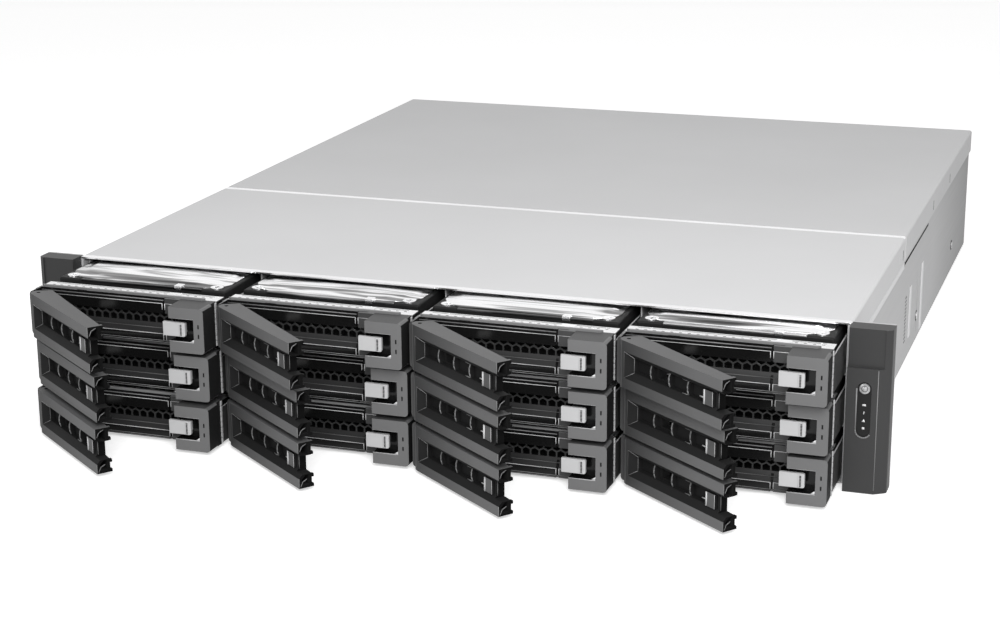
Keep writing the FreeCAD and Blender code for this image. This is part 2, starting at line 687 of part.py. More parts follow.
def rack_flange(side):
    """Outward fold at a side wall's front, with two rack slots."""
    outer = side * RACK_SPAN / 2
    waist = COVER_LOW - SHEET
    y0, y1 = FLANGE_Y, FLANGE_Y + FLANGE_T
    plate = block(*sorted((side * (BODY_W / 2 - SHEET), outer)), y0, y1, 0, waist)
    upper = block(*sorted((side * (COVER_W / 2 + COVER_GAP), outer)), y0, y1, waist, BODY_H)
    slot_x = side * (RACK_SPAN / 2 - RACK_SLOT_INSET)
    slots = []
    for up in (-1, 1):
        centre = Vector(slot_x, FLANGE_Y - OVER, BODY_H / 2 + up * RACK_SLOT_PITCH / 2)
        slots.append(slot_prism(RACK_SLOT_L, RACK_SLOT_W, FLANGE_T + 2 * OVER, centre))
    return cut(fuse(plate, upper), *slots)


def chassis_tub():
    """Floor and side walls folded from one sheet, with rack flanges and rail fixings."""
    w, t = BODY_W / 2, SHEET
    section = [(-w, WALL_TOP), (-w, 0), (w, 0), (w, WALL_TOP),
               (w - t, WALL_TOP), (w - t, t), (-w + t, t), (-w + t, WALL_TOP)]
    tub = polygon([(x, FRONT_Y, z) for x, z in section]).extrude(Vector(0, BODY_D, 0))
    tub = round_edges(tub, BEND_R, lambda m, d: along_y(d) and near(m.z, 0))
    tub = fuse(tub, rack_flange(-1), rack_flange(1))
    tools = []
    for k in range(2):
        base = Vector(-w - OVER, FRONT_Y + RAIL_HOLE_FIRST + k * RAIL_HOLE_PITCH, RAIL_HOLE_Z)
        tools.append(rod(RAIL_HOLE_R, 2 * (w + OVER), base, Vector(1, 0, 0)))
    y = FRONT_Y + RAIL_SLOT_Y
    tools.append(block(-w - OVER, w + OVER, y - RAIL_SLOT_W / 2, y + RAIL_SLOT_W / 2,
                       RAIL_SLOT_Z - RAIL_SLOT_H / 2, RAIL_SLOT_Z + RAIL_SLOT_H / 2))
    return cut(tub, *tools)


def cover_screw_places():
    """Centres of the thumb screws on the rear cover's tabs."""
    return [Vector(x, REAR_Y + REAR_OVERHANG, BODY_H - SCREW_DROP) for x in SCREW_X]


def screw_hole(base):
    return rod(SCREW_R + SEAT, SCREW_L + 2 * OVER, base + Vector(0, OVER, 0), Vector(0, -1, 0))


def cover_screws():
    screws = []
    for base in cover_screw_places():
        head = rod(SCREW_HEAD_R, SCREW_HEAD_T, base, Vector(0, 1, 0))
        screws.append(fuse(head, rod(SCREW_R, SCREW_L, base, Vector(0, -1, 0))))
    return Part.makeCompound(screws)


def cover_channel(y0, y1):
    """A cover: a top panel with folded side flanges."""
    w, t, top = COVER_W / 2, SHEET, BODY_H
    low = COVER_LOW
    section = [(-w, low), (-w, top), (w, top), (w, low), (w - t, low),
               (w - t, top - t), (-w + t, top - t), (-w + t, low)]
    channel = polygon([(x, y0, z) for x, z in section]).extrude(Vector(0, y1 - y0, 0))
    return round_edges(channel, BEND_R, lambda m, d: along_y(d) and near(m.z, top))


def hook_slits(y0, y1):
    """Slits through both flanges over the hooks that hold a cover down."""
    w = COVER_W / 2
    gaps = math.ceil((y1 - y0 - 2 * HOOK_INSET) / HOOK_PITCH_MAX)
    high = BODY_H - HOOK_SLIT_DROP
    slits = []
    for k in range(gaps + 1):
        y = y0 + HOOK_INSET + (y1 - y0 - 2 * HOOK_INSET) * k / gaps
        slits.append(block(-w - OVER, w + OVER, y, y + HOOK_SLIT_W, high - HOOK_SLIT_H, high))
    return slits


def front_cover():
    y0, y1 = FRONT_Y, FRONT_Y + FRONT_COVER_D
    return cut(cover_channel(y0, y1), *hook_slits(y0, y1))


def rear_cover():
    """The rear cover ends in a short lip with two screw tabs, and is nicked at the seam's ends."""
    y0, y1 = FRONT_Y + FRONT_COVER_D + SEAM, REAR_Y + REAR_OVERHANG
    w = COVER_W / 2
    lip = block(-w + SHEET, w - SHEET, y1 - SHEET, y1, BODY_H - REAR_LIP, BODY_H - SHEET)
    tabs = [block(x - SCREW_TAB_W / 2, x + SCREW_TAB_W / 2, y1 - SHEET, y1,
                  BODY_H - SCREW_TAB_H, BODY_H - SHEET)
            for x in SCREW_X]
    cover = fuse(cover_channel(y0, y1), lip, *tabs)
    cover = round_edges(cover, BEND_R, lambda m, d: along_x(d) and near(m.y, y1) and near(m.z, BODY_H))
    tools = hook_slits(y0, y1) + [screw_hole(base) for base in cover_screw_places()]
    for s in (-1, 1):
        corner = [(s * w, y0 - OVER), (s * (w - SEAM_NOTCH), y0 - OVER), (s * w, y0 + SEAM_NOTCH / 2)]
        nick = polygon([(x, y, COVER_LOW - OVER) for x, y in corner])
        tools.append(nick.extrude(Vector(0, 0, COVER_FLANGE + 2 * OVER)))
    return cut(cover, *tools)


def drive_cage():
    """Upright plates between the columns with a guide rib under each sled's edge."""
    y0, y1 = TRAY_HOME_Y + BEZEL_D + GUIDE_FRONT, BACKPLANE_Y - SEAT
    z0, z1 = FLOOR_Z, CEILING_Z - SEAT
    plates = []
    for k in range(COLUMNS + 1):
        edge = TRAY_X - TRAY_GAP / 2 + k * COL_PITCH
        faces = (edge - CAGE_T / 2, edge + CAGE_T / 2)
        if k == 0:
            faces = (-INNER_W / 2 + CAGE_SIDE, -INNER_W / 2 + CAGE_SIDE + CAGE_T)
        if k == COLUMNS:
            faces = (INNER_W / 2 - CAGE_SIDE - CAGE_T, INNER_W / 2 - CAGE_SIDE)
        ribs = []
        sled_gap = TRAY_GAP / 2 + BEZEL_LAP
        reach = (edge - sled_gap - GUIDE_REACH if k else faces[0],
                 edge + sled_gap + GUIDE_REACH if k < COLUMNS else faces[1])
        for row in range(ROWS):
            top = TRAY_Z + row * ROW_PITCH + SLED_DROP - SEAT
            ribs.append(block(reach[0], reach[1], y0, y1, max(top - GUIDE_T, z0), top))
        plates.append(fuse(block(faces[0], faces[1], y0, y1, z0, z1), *ribs))
    return Part.makeCompound(plates)


def bay_places():
    """Left edge and lower edge of each tray, row by row from the top left."""
    return [(TRAY_X + column * COL_PITCH, TRAY_Z + (ROWS - 1 - row) * ROW_PITCH)
            for row in range(ROWS) for column in range(COLUMNS)]


def backplane():
    """A board across the cage's rear with a drive connector and an air slot for each bay."""
    board = block(-INNER_W / 2 + CAGE_SIDE, INNER_W / 2 - CAGE_SIDE, BACKPLANE_Y, BACKPLANE_Y + BACKPLANE_T,
                  FLOOR_Z, CEILING_Z - SEAT)
    slots, sockets = [], []
    for x, z in bay_places():
        middle = x + TRAY_W / 2
        top = z + BEZEL_H - SLED_DROP
        slots.append(block(middle - AIR_SLOT_W / 2, middle + AIR_SLOT_W / 2, BACKPLANE_Y - OVER,
                           BACKPLANE_Y + BACKPLANE_T + OVER, top - AIR_SLOT_H, top))
        low = z + SLED_DROP + SLED_T + CONNECTOR_H / 2
        sockets.append(block(middle - CONNECTOR_W / 2, middle + CONNECTOR_W / 2,
                             BACKPLANE_Y - CONNECTOR_D, BACKPLANE_Y, low, low + CONNECTOR_H))
    return Part.makeCompound([cut(board, *slots)] + sockets)


def fan_centres():
    return [Vector(FAN_FIRST_X + k * FAN_PITCH, FAN_Y, FAN_Z) for k in range(FAN_COUNT)]


def fan_frame(centre):
    """A square housing with a round duct and a motor disc on four struts."""
    half = FAN_SIZE / 2
    shell = block(centre.x - half, centre.x + half, FAN_Y, FAN_Y + FAN_D, centre.z - half, centre.z + half)
    duct = prism_along_y(FAN_DUCT_R, FAN_SIDES, centre + Vector(0, -OVER, 0), FAN_D + 2 * OVER)
    y1 = FAN_Y + FAN_D
    y0 = y1 - FAN_STRUT_T
    motor = prism_along_y(FAN_HUB_R, FAN_SIDES, Vector(centre.x, y0, centre.z), FAN_STRUT_T)
    a, b = half - FAN_SEAT, FAN_STRUT_W / 2
    struts = []
    for u, v in ((a, b), (b, a)):
        struts.append(block(centre.x - u, centre.x + u, y0, y1, centre.z - v, centre.z + v))
    return fuse(cut(shell, duct), motor, *struts)


def fan_wall():
    """A folded plate across the chassis with a window for each fan, and the fan housings on it."""
    y0 = FAN_Y - SEAT - FAN_PLATE_T
    x1 = PSU_X0 - PSU_SIDE
    plate = block(-INNER_W / 2 + SEAT, x1, y0, y0 + FAN_PLATE_T, FLOOR_Z, CEILING_Z - SEAT)
    foot = block(-INNER_W / 2 + SEAT, x1, y0 - FAN_FOOT_D, y0, FLOOR_Z, FLOOR_Z + FAN_PLATE_T)
    centres = fan_centres()
    half = FAN_SIZE / 2 - FAN_LAP
    windows = [block(c.x - half, c.x + half, y0 - OVER, y0 + FAN_PLATE_T + OVER, c.z - half, c.z + half)
               for c in centres]
    return Part.makeCompound([cut(fuse(plate, foot), *windows)] + [fan_frame(c) for c in centres])


def fan_rotor(centre):
    """A hub with pitched blades, seated just clear of the motor disc."""
    depth = FAN_D - FAN_STRUT_T - SLIDE - FAN_TIP_GAP
    y0 = FAN_Y + FAN_TIP_GAP
    hub = rod(FAN_HUB_R, depth, Vector(centre.x, y0, centre.z), Vector(0, 1, 0))
    tip = FAN_DUCT_R - FAN_TIP_GAP
    chord = FAN_BLADE_DEPTH / math.cos(math.radians(FAN_BLADE_DEG))
    reach = math.sqrt(tip ** 2 - (chord / 2) ** 2)
    blade = block(centre.x - FAN_BLADE_T / 2, centre.x + FAN_BLADE_T / 2, -chord / 2, chord / 2,
                  centre.z + FAN_HUB_R - FAN_ROOT, centre.z + reach)
    blade.rotate(Vector(centre.x, 0, centre.z), Vector(0, 0, 1), FAN_BLADE_DEG)
    blade.translate(Vector(0, y0 + depth / 2, 0))
    blades = []
    for k in range(FAN_BLADES):
        turned = blade.copy()
        turned.rotate(Vector(centre.x, 0, centre.z), Vector(0, 1, 0), 360.0 * k / FAN_BLADES)
        blades.append(turned)
    return fuse(hub, *blades)


def mainboard():
    board = block(BOARD_X, BOARD_X + BOARD_W, BOARD_Y1 - BOARD_D, BOARD_Y1, BOARD_Z, BOARD_TOP)
    inset = STANDOFF_INSET
    posts = [upright_prism(STANDOFF_R, 6, x, y, FLOOR_Z, BOARD_Z)
             for x in (BOARD_X + inset, BOARD_X + BOARD_W - inset)
             for y in (BOARD_Y1 - BOARD_D + inset, BOARD_Y1 - LAN_D - inset)]
    return Part.makeCompound([board] + posts)


def sink_origin():
    return BOARD_X + SINK_FROM_LEFT, BOARD_Y1 - SINK_FROM_REAR - SINK_SIZE


def cpu_heatsink():
    x0, y0 = sink_origin()
    base = block(x0, x0 + SINK_SIZE, y0, y0 + SINK_SIZE, BOARD_TOP, BOARD_TOP + SINK_BASE)
    step = (SINK_SIZE - SINK_FIN_T) / (SINK_FINS - 1)
    fins = []
    for k in range(SINK_FINS):
        x = x0 + k * step
        fins.append(block(x, x + SINK_FIN_T, y0, y0 + SINK_SIZE, BOARD_TOP, BOARD_TOP + SINK_H))
    return fuse(base, *fins)


def memory_modules():
    """Memory cards upright in their sockets, beside the heat sink."""
    x0 = sink_origin()[0] + SINK_SIZE + DIMM_FROM_SINK
    y1 = BOARD_Y1 - DIMM_FROM_REAR
    y0 = y1 - DIMM_L - DIMM_SOCKET_W
    end, side = DIMM_SOCKET_W / 2, (DIMM_SOCKET_W - DIMM_T) / 2
    socket_top = BOARD_TOP + DIMM_SOCKET_H
    pieces = []
    for k in range(DIMM_COUNT):
        x = x0 + k * DIMM_PITCH
        pieces.append(block(x, x + DIMM_SOCKET_W, y0, y1, BOARD_TOP, socket_top))
        pieces.append(block(x + side, x + side + DIMM_T, y0 + end, y1 - end, socket_top, BOARD_TOP + DIMM_H))
    return Part.makeCompound(pieces)


# Power supplies, the upper one first

def psu_floor(index):
    shelf = PSU_H + 2 * PSU_GAP + SHELF_T if index == 0 else 0
    return FLOOR_Z + PSU_GAP + shelf


def psu_cage():
    """A side plate and a shelf that carry the two modules."""
    x0 = PSU_X0 - PSU_SIDE
    y0, y1 = PSU_Y0 - PSU_SIDE, PANEL_Y - SEAT
    plate = block(x0, x0 + SHELF_T, y0, y1, FLOOR_Z, CEILING_Z - SEAT)
    z = FLOOR_Z + 2 * PSU_GAP + PSU_H
    shelf = block(x0, INNER_W / 2 - SEAT, y0, y1, z, z + SHELF_T)
    stop = block(x0, INNER_W / 2 - SEAT, y0 - SHELF_T, y0, FLOOR_Z, CEILING_Z - SEAT)
    return fuse(plate, shelf, stop)


def inlet_frame(index):
    """Centre of a module's mains inlet on its rear face."""
    return Vector(PSU_X1 - INLET_INSET, PSU_Y1, psu_floor(index) + PSU_H / 2)


def psu(index):
    z0 = psu_floor(index)
    case = block(PSU_X0, PSU_X1, PSU_Y0, PSU_Y1, z0, z0 + PSU_H)
    case = round_edges(case, PSU_EDGE_R, lambda m, d: along_y(d))
    inlet = inlet_frame(index)
    face = PSU_Y1 + INLET_PROUD
    w, h = INLET_W / 2, INLET_H / 2
    rim = block(inlet.x - w - INLET_RIM, inlet.x + w + INLET_RIM, PSU_Y1, face,
                inlet.z - h - INLET_RIM, inlet.z + h + INLET_RIM)
    mouth = block(inlet.x - w, inlet.x + w, face - INLET_D, face + OVER, inlet.z - h, inlet.z + h)
    fan = Vector(PSU_X0 + PSU_FAN_R + PSU_SIDE, PSU_Y1 - PSU_FAN_DEEP, inlet.z)
    well = prism_along_y(PSU_FAN_R, FAN_SIDES, fan, PSU_FAN_DEEP + OVER)
    guard = [prism_along_y(PSU_FAN_HUB, FAN_SIDES, fan, PSU_FAN_DEEP)]
    for u, v in ((PSU_FAN_R, PSU_FAN_BAR / 2), (PSU_FAN_BAR / 2, PSU_FAN_R)):
        guard.append(block(fan.x - u, fan.x + u, fan.y, PSU_Y1, fan.z - v, fan.z + v))
    return fuse(cut(fuse(case, rim), mouth, well), *guard)


def psu_pull(index):
    """A bent pull handle beside the inlet."""
    inlet = inlet_frame(index)
    x0 = inlet.x - INLET_W / 2 - INLET_RIM - PULL_W - SLIDE
    z0, z1 = inlet.z - PULL_SPAN / 2, inlet.z + PULL_SPAN / 2
    outer = block(x0, x0 + PULL_W, PSU_Y1, PSU_Y1 + PULL_REACH, z0, z1)
    outer = round_edges(outer, PULL_T, lambda m, d: along_x(d) and near(m.y, PSU_Y1 + PULL_REACH))
    hole = block(x0 - OVER, x0 + PULL_W + OVER, PSU_Y1 - OVER, PSU_Y1 + PULL_REACH - PULL_T,
                 z0 + PULL_T, z1 - PULL_T)
    return cut(outer, hole)


def psu_latch(index):
    """A thumb slide at the lower corner of the module's rear face."""
    x1 = PSU_X1 - PSU_EDGE_R - PSU_LATCH_TRAVEL
    y0, y1 = PSU_Y1 + SLIDE, PSU_Y1 + SLIDE + PSU_LATCH_T
    low = psu_floor(index) + PSU_EDGE_R
    pad = block(x1 - PSU_LATCH_W, x1, y0, y1, low, low + PSU_LATCH_H)
    return round_edges(pad, PSU_EDGE_R, lambda m, d: along_z(d) and near(m.y, y1))


# Rear panel and ports

def slot_cover_x(k):
    return -INNER_W / 2 + SLOT_FROM_LEFT + k * SLOT_PITCH


def port_layout():
    """Left edge of each port along the board's rear edge, in the order they stand."""
    places, x = [], IO_X + PORT_GAP
    for kind, width in [("vga", VGA_W), ("usb", USB_W)] + [("lan", LAN_W)] * LAN_COUNT:
        places.append((kind, x))
        x += width + PORT_GAP
    return places


def rear_panel():
    """The rear wall, with openings for the supplies, the ports and the card slots, and its vents."""
    wall = block(-INNER_W / 2 + SEAT, INNER_W / 2 - SEAT, PANEL_Y, REAR_Y, FLOOR_Z, PANEL_TOP)
    y0, y1 = PANEL_Y - OVER, REAR_Y + OVER
    bay = block(PSU_X0 - PSU_GAP, PSU_X1 + PSU_GAP, y0, y1, FLOOR_Z + PSU_GAP / 2, CEILING_Z - PSU_GAP / 2)
    ports = block(IO_X, IO_X + IO_W, y0, y1, BOARD_TOP - SLIDE, BOARD_TOP + IO_H)
    tools = [bay, ports] + [screw_hole(base) for base in cover_screw_places()]
    low, high, lap = BOARD_TOP, BOARD_TOP + SLOT_H, SLOT_COVER_LAP
    covers = []
    for k in range(SLOT_COUNT):
        x = slot_cover_x(k)
        tools.append(block(x, x + SLOT_OPEN_W, y0, y1, low, high))
        covers.append(block(x - lap, x + SLOT_OPEN_W + lap, PANEL_Y - SLOT_COVER_T, PANEL_Y,
                            low - lap, high + lap))
    for column in range(VENT_COLUMNS):
        x = IO_X + VENT_FROM_LEFT + column * VENT_PITCH_X
        for row in range(VENT_ROWS):
            z = VENT_Z + row * VENT_PITCH_Z
            tools.append(block(x, x + VENT_W, y0, y1, z, z + VENT_H))
    return Part.makeCompound([cut(wall, *tools)] + covers)


def lan_port(x):
    shell = block(x, x + LAN_W, REAR_Y - LAN_D, REAR_Y, BOARD_TOP, BOARD_TOP + LAN_H)
    left = x + (LAN_W - LAN_MOUTH_W) / 2
    z = BOARD_TOP + (LAN_H - LAN_MOUTH_H) / 2
    mouth = block(left, left + LAN_MOUTH_W, REAR_Y - LAN_MOUTH_D, REAR_Y + OVER, z, z + LAN_MOUTH_H)
    return cut(shell, mouth)


def usb_port(x):
    shell = block(x, x + USB_W, REAR_Y - USB_D, REAR_Y, BOARD_TOP, BOARD_TOP + USB_H)
    left = x + (USB_W - USB_MOUTH_W) / 2
    gap = (USB_H - 2 * USB_MOUTH_H) / 3
    mouths = []
    for k in range(2):
        z = BOARD_TOP + gap + k * (USB_MOUTH_H + gap)
        mouths.append(block(left, left + USB_MOUTH_W, REAR_Y - USB_MOUTH_D, REAR_Y + OVER,
                            z, z + USB_MOUTH_H))
    return cut(shell, *mouths)


def vga_port(x):
    """A flanged socket with a slant-sided metal shell."""
    flange = block(x, x + VGA_W, REAR_Y - VGA_D, REAR_Y, BOARD_TOP, BOARD_TOP + VGA_H)
    middle, z = x + VGA_W / 2, BOARD_TOP + VGA_H / 2
    w, h = VGA_SHELL_W / 2, VGA_SHELL_H / 2
    corners = [(-w, h), (w, h), (w - VGA_SLANT, -h), (VGA_SLANT - w, -h)]
    shell = polygon([(middle + u, REAR_Y, z + v) for u, v in corners]).extrude(Vector(0, VGA_SHELL_D, 0))
    return fuse(flange, shell)


def io_ports():
    makers = {"lan": lan_port, "usb": usb_port, "vga": vga_port}
    return Part.makeCompound([makers[kind](x) for kind, x in port_layout()])


# Ears

def ear(side):
    """A hollow moulded cap on a rack flange, stepped back at its top and bevelled outside."""
    back = FLANGE_Y - SEAT
    x0, x1 = EAR_X, EAR_X + EAR_W
    bevel_x, bevel_y = x1 - EAR_BEVEL_W, EAR_FRONT + EAR_BEVEL_D
    plan = [(x0, EAR_FRONT), (bevel_x, EAR_FRONT), (x1, bevel_y), (x1, back), (x0, back)]
    body = polygon([(x, y, 0) for x, y in plan]).extrude(Vector(0, 0, BODY_H))
    body = round_edges(body, EAR_R, lambda m, d: along_z(d) and near(m.x, x1) and near(m.y, bevel_y))
    step = block(x0 - OVER, x1 - EAR_STEP_RIM, EAR_FRONT - OVER, EAR_FRONT + EAR_STEP_D,
                 EAR_STEP_Z, BODY_H + OVER)
    wall = EAR_WALL
    front = EAR_FRONT + EAR_STEP_D + wall
    hollow = [(x0 + wall, front), (bevel_x, front), (x1 - wall, front + EAR_BEVEL_D),
              (x1 - wall, back + OVER), (x0 + wall, back + OVER)]
    pocket = polygon([(x, y, wall) for x, y in hollow]).extrude(Vector(0, 0, BODY_H - 2 * wall))
    body = cut(body, step, pocket)
    if side > 0:
        pill_base = Vector(PILL_X, EAR_FRONT - OVER, PILL_Z)
        pill = slot_prism(PILL_H, PILL_W, PILL_D + OVER, pill_base, upright=True)
        bore = rod(BUTTON_R + SLIDE, EAR_PROUD, Vector(PILL_X, EAR_FRONT - OVER, BUTTON_Z), Vector(0, 1, 0))
        return cut(body, pill, bore)
    return body.mirror(Vector(0, 0, 0), Vector(1, 0, 0))


def status_lens():
    y0 = EAR_FRONT + PILL_D - LENS_T
    plate = slot_prism(PILL_H - 2 * SEAT, PILL_W - 2 * SEAT, LENS_T - SEAT,
                       Vector(PILL_X, y0, PILL_Z), upright=True)
    bore = rod(BUTTON_R + SLIDE, LENS_T + 2 * OVER, Vector(PILL_X, y0 - OVER, BUTTON_Z), Vector(0, 1, 0))
    return cut(plate, bore)


def power_button():
    """A round cap with a wider flange behind the ear's wall."""
    y0 = EAR_FRONT + PILL_D - LENS_T - BUTTON_PROUD
    wall_back = EAR_FRONT + EAR_STEP_D + EAR_WALL + SLIDE
    cap = rod(BUTTON_R, wall_back + BUTTON_FLANGE - y0, Vector(PILL_X, y0, BUTTON_Z), Vector(0, 1, 0))
    centre = Vector(PILL_X, wall_back, BUTTON_Z)
    flange = rod(BUTTON_R + BUTTON_BACK, BUTTON_FLANGE, centre, Vector(0, 1, 0))
    return fuse(cap, flange)


def placed(shape, x, y, z):
    moved = shape.copy()
    moved.translate(Vector(x, y, z))
    return moved


def tray_nodes():
    """The twelve trays, each with its swung-out lever and its latch."""
    carrier = [bezel(), grille(), sled(), drive(), hinge_pin()]
    swung = lever()
    swung.rotate(Vector(PIVOT_X, PIVOT_Y, 0), Vector(0, 0, 1), -LEVER_OPEN_DEG)
    catch = latch()
    nodes = {}
    for number, (x, z) in enumerate(bay_places(), start=1):
        y = TRAY_HOME_Y - TRAY_PULLS[(number - 1) // COLUMNS][(number - 1) % COLUMNS]
        nodes[f"tray_{number:02d}"] = Part.makeCompound([placed(s, x, y, z) for s in carrier])
        nodes[f"lever_{number:02d}"] = placed(swung, x, y, z)
        nodes[f"latch_{number:02d}"] = placed(catch, x, y, z)
    return nodes


def all_nodes():
    nodes = tray_nodes()
    for maker in (chassis_tub, front_cover, rear_cover, rear_panel, cover_screws, drive_cage, backplane,
                  fan_wall, mainboard, cpu_heatsink, memory_modules, io_ports, psu_cage, status_lens,
                  power_button):
        nodes[maker.__name__] = maker()
    nodes["left_ear"] = ear(-1)
    nodes["right_ear"] = ear(1)
    for k, centre in enumerate(fan_centres(), start=1):
        nodes[f"fan_rotor_{k}"] = fan_rotor(centre)
    for k in range(2):
        nodes[f"psu_{k + 1}"] = Part.makeCompound([psu(k), psu_pull(k)])
        nodes[f"psu_latch_{k + 1}"] = psu_latch(k)
    return nodes


def main():
    os.makedirs("parts", exist_ok=True)
    for name, shape in all_nodes().items():
        shape.exportStep(os.path.join("parts", name + ".step"))
    print(f"body {BODY_W:.2f} x {BODY_D:.2f} x {BODY_H:.2f}, rack span {RACK_SPAN:.2f}")
    print(f"bay pitch {COL_PITCH:.2f} x {ROW_PITCH:.2f}")


main()
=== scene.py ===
# %% [markdown]
# # A rack storage server with its drive trays drawn out
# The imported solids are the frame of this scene: every piece below takes its place from them and
# moves with their bodies. The lesson goes from the room to the sheet metal, then to the twelve
# trays with their levers and latches, and ends with the rear and the inside.

# %% Load the frame
import math

import bmesh
import bpy
from mathutils import Matrix, Vector


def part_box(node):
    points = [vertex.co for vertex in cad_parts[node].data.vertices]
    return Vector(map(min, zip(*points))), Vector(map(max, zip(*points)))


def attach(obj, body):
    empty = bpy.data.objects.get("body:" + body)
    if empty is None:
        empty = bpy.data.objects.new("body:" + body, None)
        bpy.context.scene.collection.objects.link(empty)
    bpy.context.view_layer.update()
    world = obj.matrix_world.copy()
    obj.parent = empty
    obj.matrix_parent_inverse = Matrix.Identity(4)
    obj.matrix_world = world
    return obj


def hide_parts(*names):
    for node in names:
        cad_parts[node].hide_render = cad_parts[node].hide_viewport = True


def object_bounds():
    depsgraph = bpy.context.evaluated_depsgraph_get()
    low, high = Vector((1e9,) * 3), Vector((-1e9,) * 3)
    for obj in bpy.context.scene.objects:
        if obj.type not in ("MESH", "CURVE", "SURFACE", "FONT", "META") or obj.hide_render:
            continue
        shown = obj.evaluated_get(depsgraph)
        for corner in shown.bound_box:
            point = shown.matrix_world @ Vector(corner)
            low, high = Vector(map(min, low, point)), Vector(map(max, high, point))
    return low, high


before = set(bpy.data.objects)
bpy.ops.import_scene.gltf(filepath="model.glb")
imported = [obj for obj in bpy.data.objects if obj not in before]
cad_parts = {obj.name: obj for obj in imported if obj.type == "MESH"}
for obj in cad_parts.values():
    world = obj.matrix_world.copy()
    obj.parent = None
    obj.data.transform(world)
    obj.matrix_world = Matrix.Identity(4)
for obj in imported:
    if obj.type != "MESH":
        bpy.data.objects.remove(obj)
cad_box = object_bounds()
MM = 0.001

# %% [markdown]
# ## Camera
# The picture was taken from the right and from above with a longish lens. Its place and angles
# were found by matching corners of the server, so they are written here as plain numbers. A
# camera looks along its own minus Z, so the three direction vectors make its matrix directly.

# %% Camera
CAMERA_AT = Vector((0.37372, -1.24958, 0.37980))
YAW, PITCH, ROLL = 0.3316451, 0.2832009, -0.0064925
FOCAL_PIXELS, IMAGE_WIDTH, SENSOR = 2053.918, 1000, 36.0

forward = Vector((-math.sin(YAW) * math.cos(PITCH), math.cos(YAW) * math.cos(PITCH),
                  -math.sin(PITCH)))
level = Vector((math.cos(YAW), math.sin(YAW), 0))
above = level.cross(forward)
across = math.cos(ROLL) * level + math.sin(ROLL) * above
upward = math.cos(ROLL) * above - math.sin(ROLL) * level

lens = bpy.data.cameras.new("camera")
lens.sensor_fit = "HORIZONTAL"
lens.sensor_width = SENSOR
lens.lens = SENSOR * FOCAL_PIXELS / IMAGE_WIDTH
camera = bpy.data.objects.new("camera", lens)
facing = Matrix((across, upward, -forward)).transposed().to_4x4()
camera.matrix_world = Matrix.Translation(CAMERA_AT) @ facing
bpy.context.scene.collection.objects.link(camera)
bpy.context.scene.camera = camera
print(f"camera lens {lens.lens:.1f} mm")

# %% [markdown]
# ## White room
# Product pictures like this one are taken in a white room. The world is white where the camera
# or a reflection looks at it, and weaker as a light, so that bright metal mirrors white while
# colours stay as they are written. Light Path tells the kinds of ray apart.

# %% White room
AMBIENT, WHITE = 0.46, (1, 1, 1, 1)


def link(tree, start, end):
    tree.links.new(start, end)


def add_node(tree, kind, **values):
    """A new shader node with its named inputs set."""
    node = tree.nodes.new(kind)
    for label, value in values.items():
        node.inputs[label.replace("_", " ")].default_value = value
    return node


def larger(tree, first, second):
    """The larger of two outputs."""
    node = tree.nodes.new("ShaderNodeMath")
    node.operation = "MAXIMUM"
    link(tree, first, node.inputs[0])
    link(tree, second, node.inputs[1])
    return node.outputs[0]


def white_room():
    world = bpy.data.worlds.new("white room")
    bpy.context.scene.world = world
    world.use_nodes = True
    tree = world.node_tree
    tree.nodes.clear()
    rays = tree.nodes.new("ShaderNodeLightPath").outputs
    seen = larger(tree, rays["Is Camera Ray"], rays["Is Glossy Ray"])
    shown = larger(tree, seen, rays["Is Transmission Ray"])
    light = add_node(tree, "ShaderNodeBackground", Color=WHITE, Strength=AMBIENT)
    backdrop = add_node(tree, "ShaderNodeBackground", Color=WHITE, Strength=1.0)
    mix = tree.nodes.new("ShaderNodeMixShader")
    for k, output in enumerate((shown, light.outputs[0], backdrop.outputs[0])):
        link(tree, output, mix.inputs[k])
    out = tree.nodes.new("ShaderNodeOutputWorld")
    link(tree, mix.outputs[0], out.inputs["Surface"])


white_room()
bpy.context.scene.view_settings.view_transform = "Standard"
print("white room with ambient light", AMBIENT)

# %% [markdown]
# ## Soft boxes
# Large soft boxes give the covers their even tone and the fronts their shading. A square area
# lamp does the same: the larger it is and the nearer it stands, the softer its shadow. The key
# box stands in front at the right, and a weaker one hangs overhead.

# %% Soft boxes


def soft_box(name, place, target, size, power):
    lamp = bpy.data.lights.new(name, "AREA")
    lamp.shape = "SQUARE"
    lamp.size = size
    lamp.energy = power
    holder = bpy.data.objects.new(name, lamp)
    holder.location = place
    holder.rotation_euler = (Vector(target) - Vector(place)).to_track_quat("-Z", "Y").to_euler()
    bpy.context.scene.collection.objects.link(holder)


soft_box("key box", (0.42, -1.30, 0.80), (0.08, -0.25, 0.05), size=0.7, power=17)
soft_box("overhead box", (0.3, -0.55, 1.1), (0.1, -0.25, 0.05), size=0.8, power=2.5)
print(len(bpy.data.lights), "soft boxes")

# %% [markdown]
# ## Floor
# The floor is a pale plane just under the part, which keeps the contact shadow. To the camera it
# also glows a little, so that it runs into the white room without more light on the object.

# %% Floor
FLOOR_REACH, FLOOR_GAP, FLOOR_GLOW = 40.0, 0.0004, 0.48
floor_paint = bpy.data.materials.new("pale floor")
floor_paint.use_nodes = True
floor_tree = floor_paint.node_tree
paint = floor_tree.nodes["Principled BSDF"]
paint.inputs["Base Color"].default_value = (0.88, 0.88, 0.88, 1)
paint.inputs["Roughness"].default_value = 0.9
paint.inputs["Emission Color"].default_value = WHITE
eye = floor_tree.nodes.new("ShaderNodeLightPath")
glow = floor_tree.nodes.new("ShaderNodeMath")
glow.operation = "MULTIPLY"
glow.inputs[1].default_value = FLOOR_GLOW
link(floor_tree, eye.outputs["Is Camera Ray"], glow.inputs[0])
link(floor_tree, glow.outputs[0], paint.inputs["Emission Strength"])

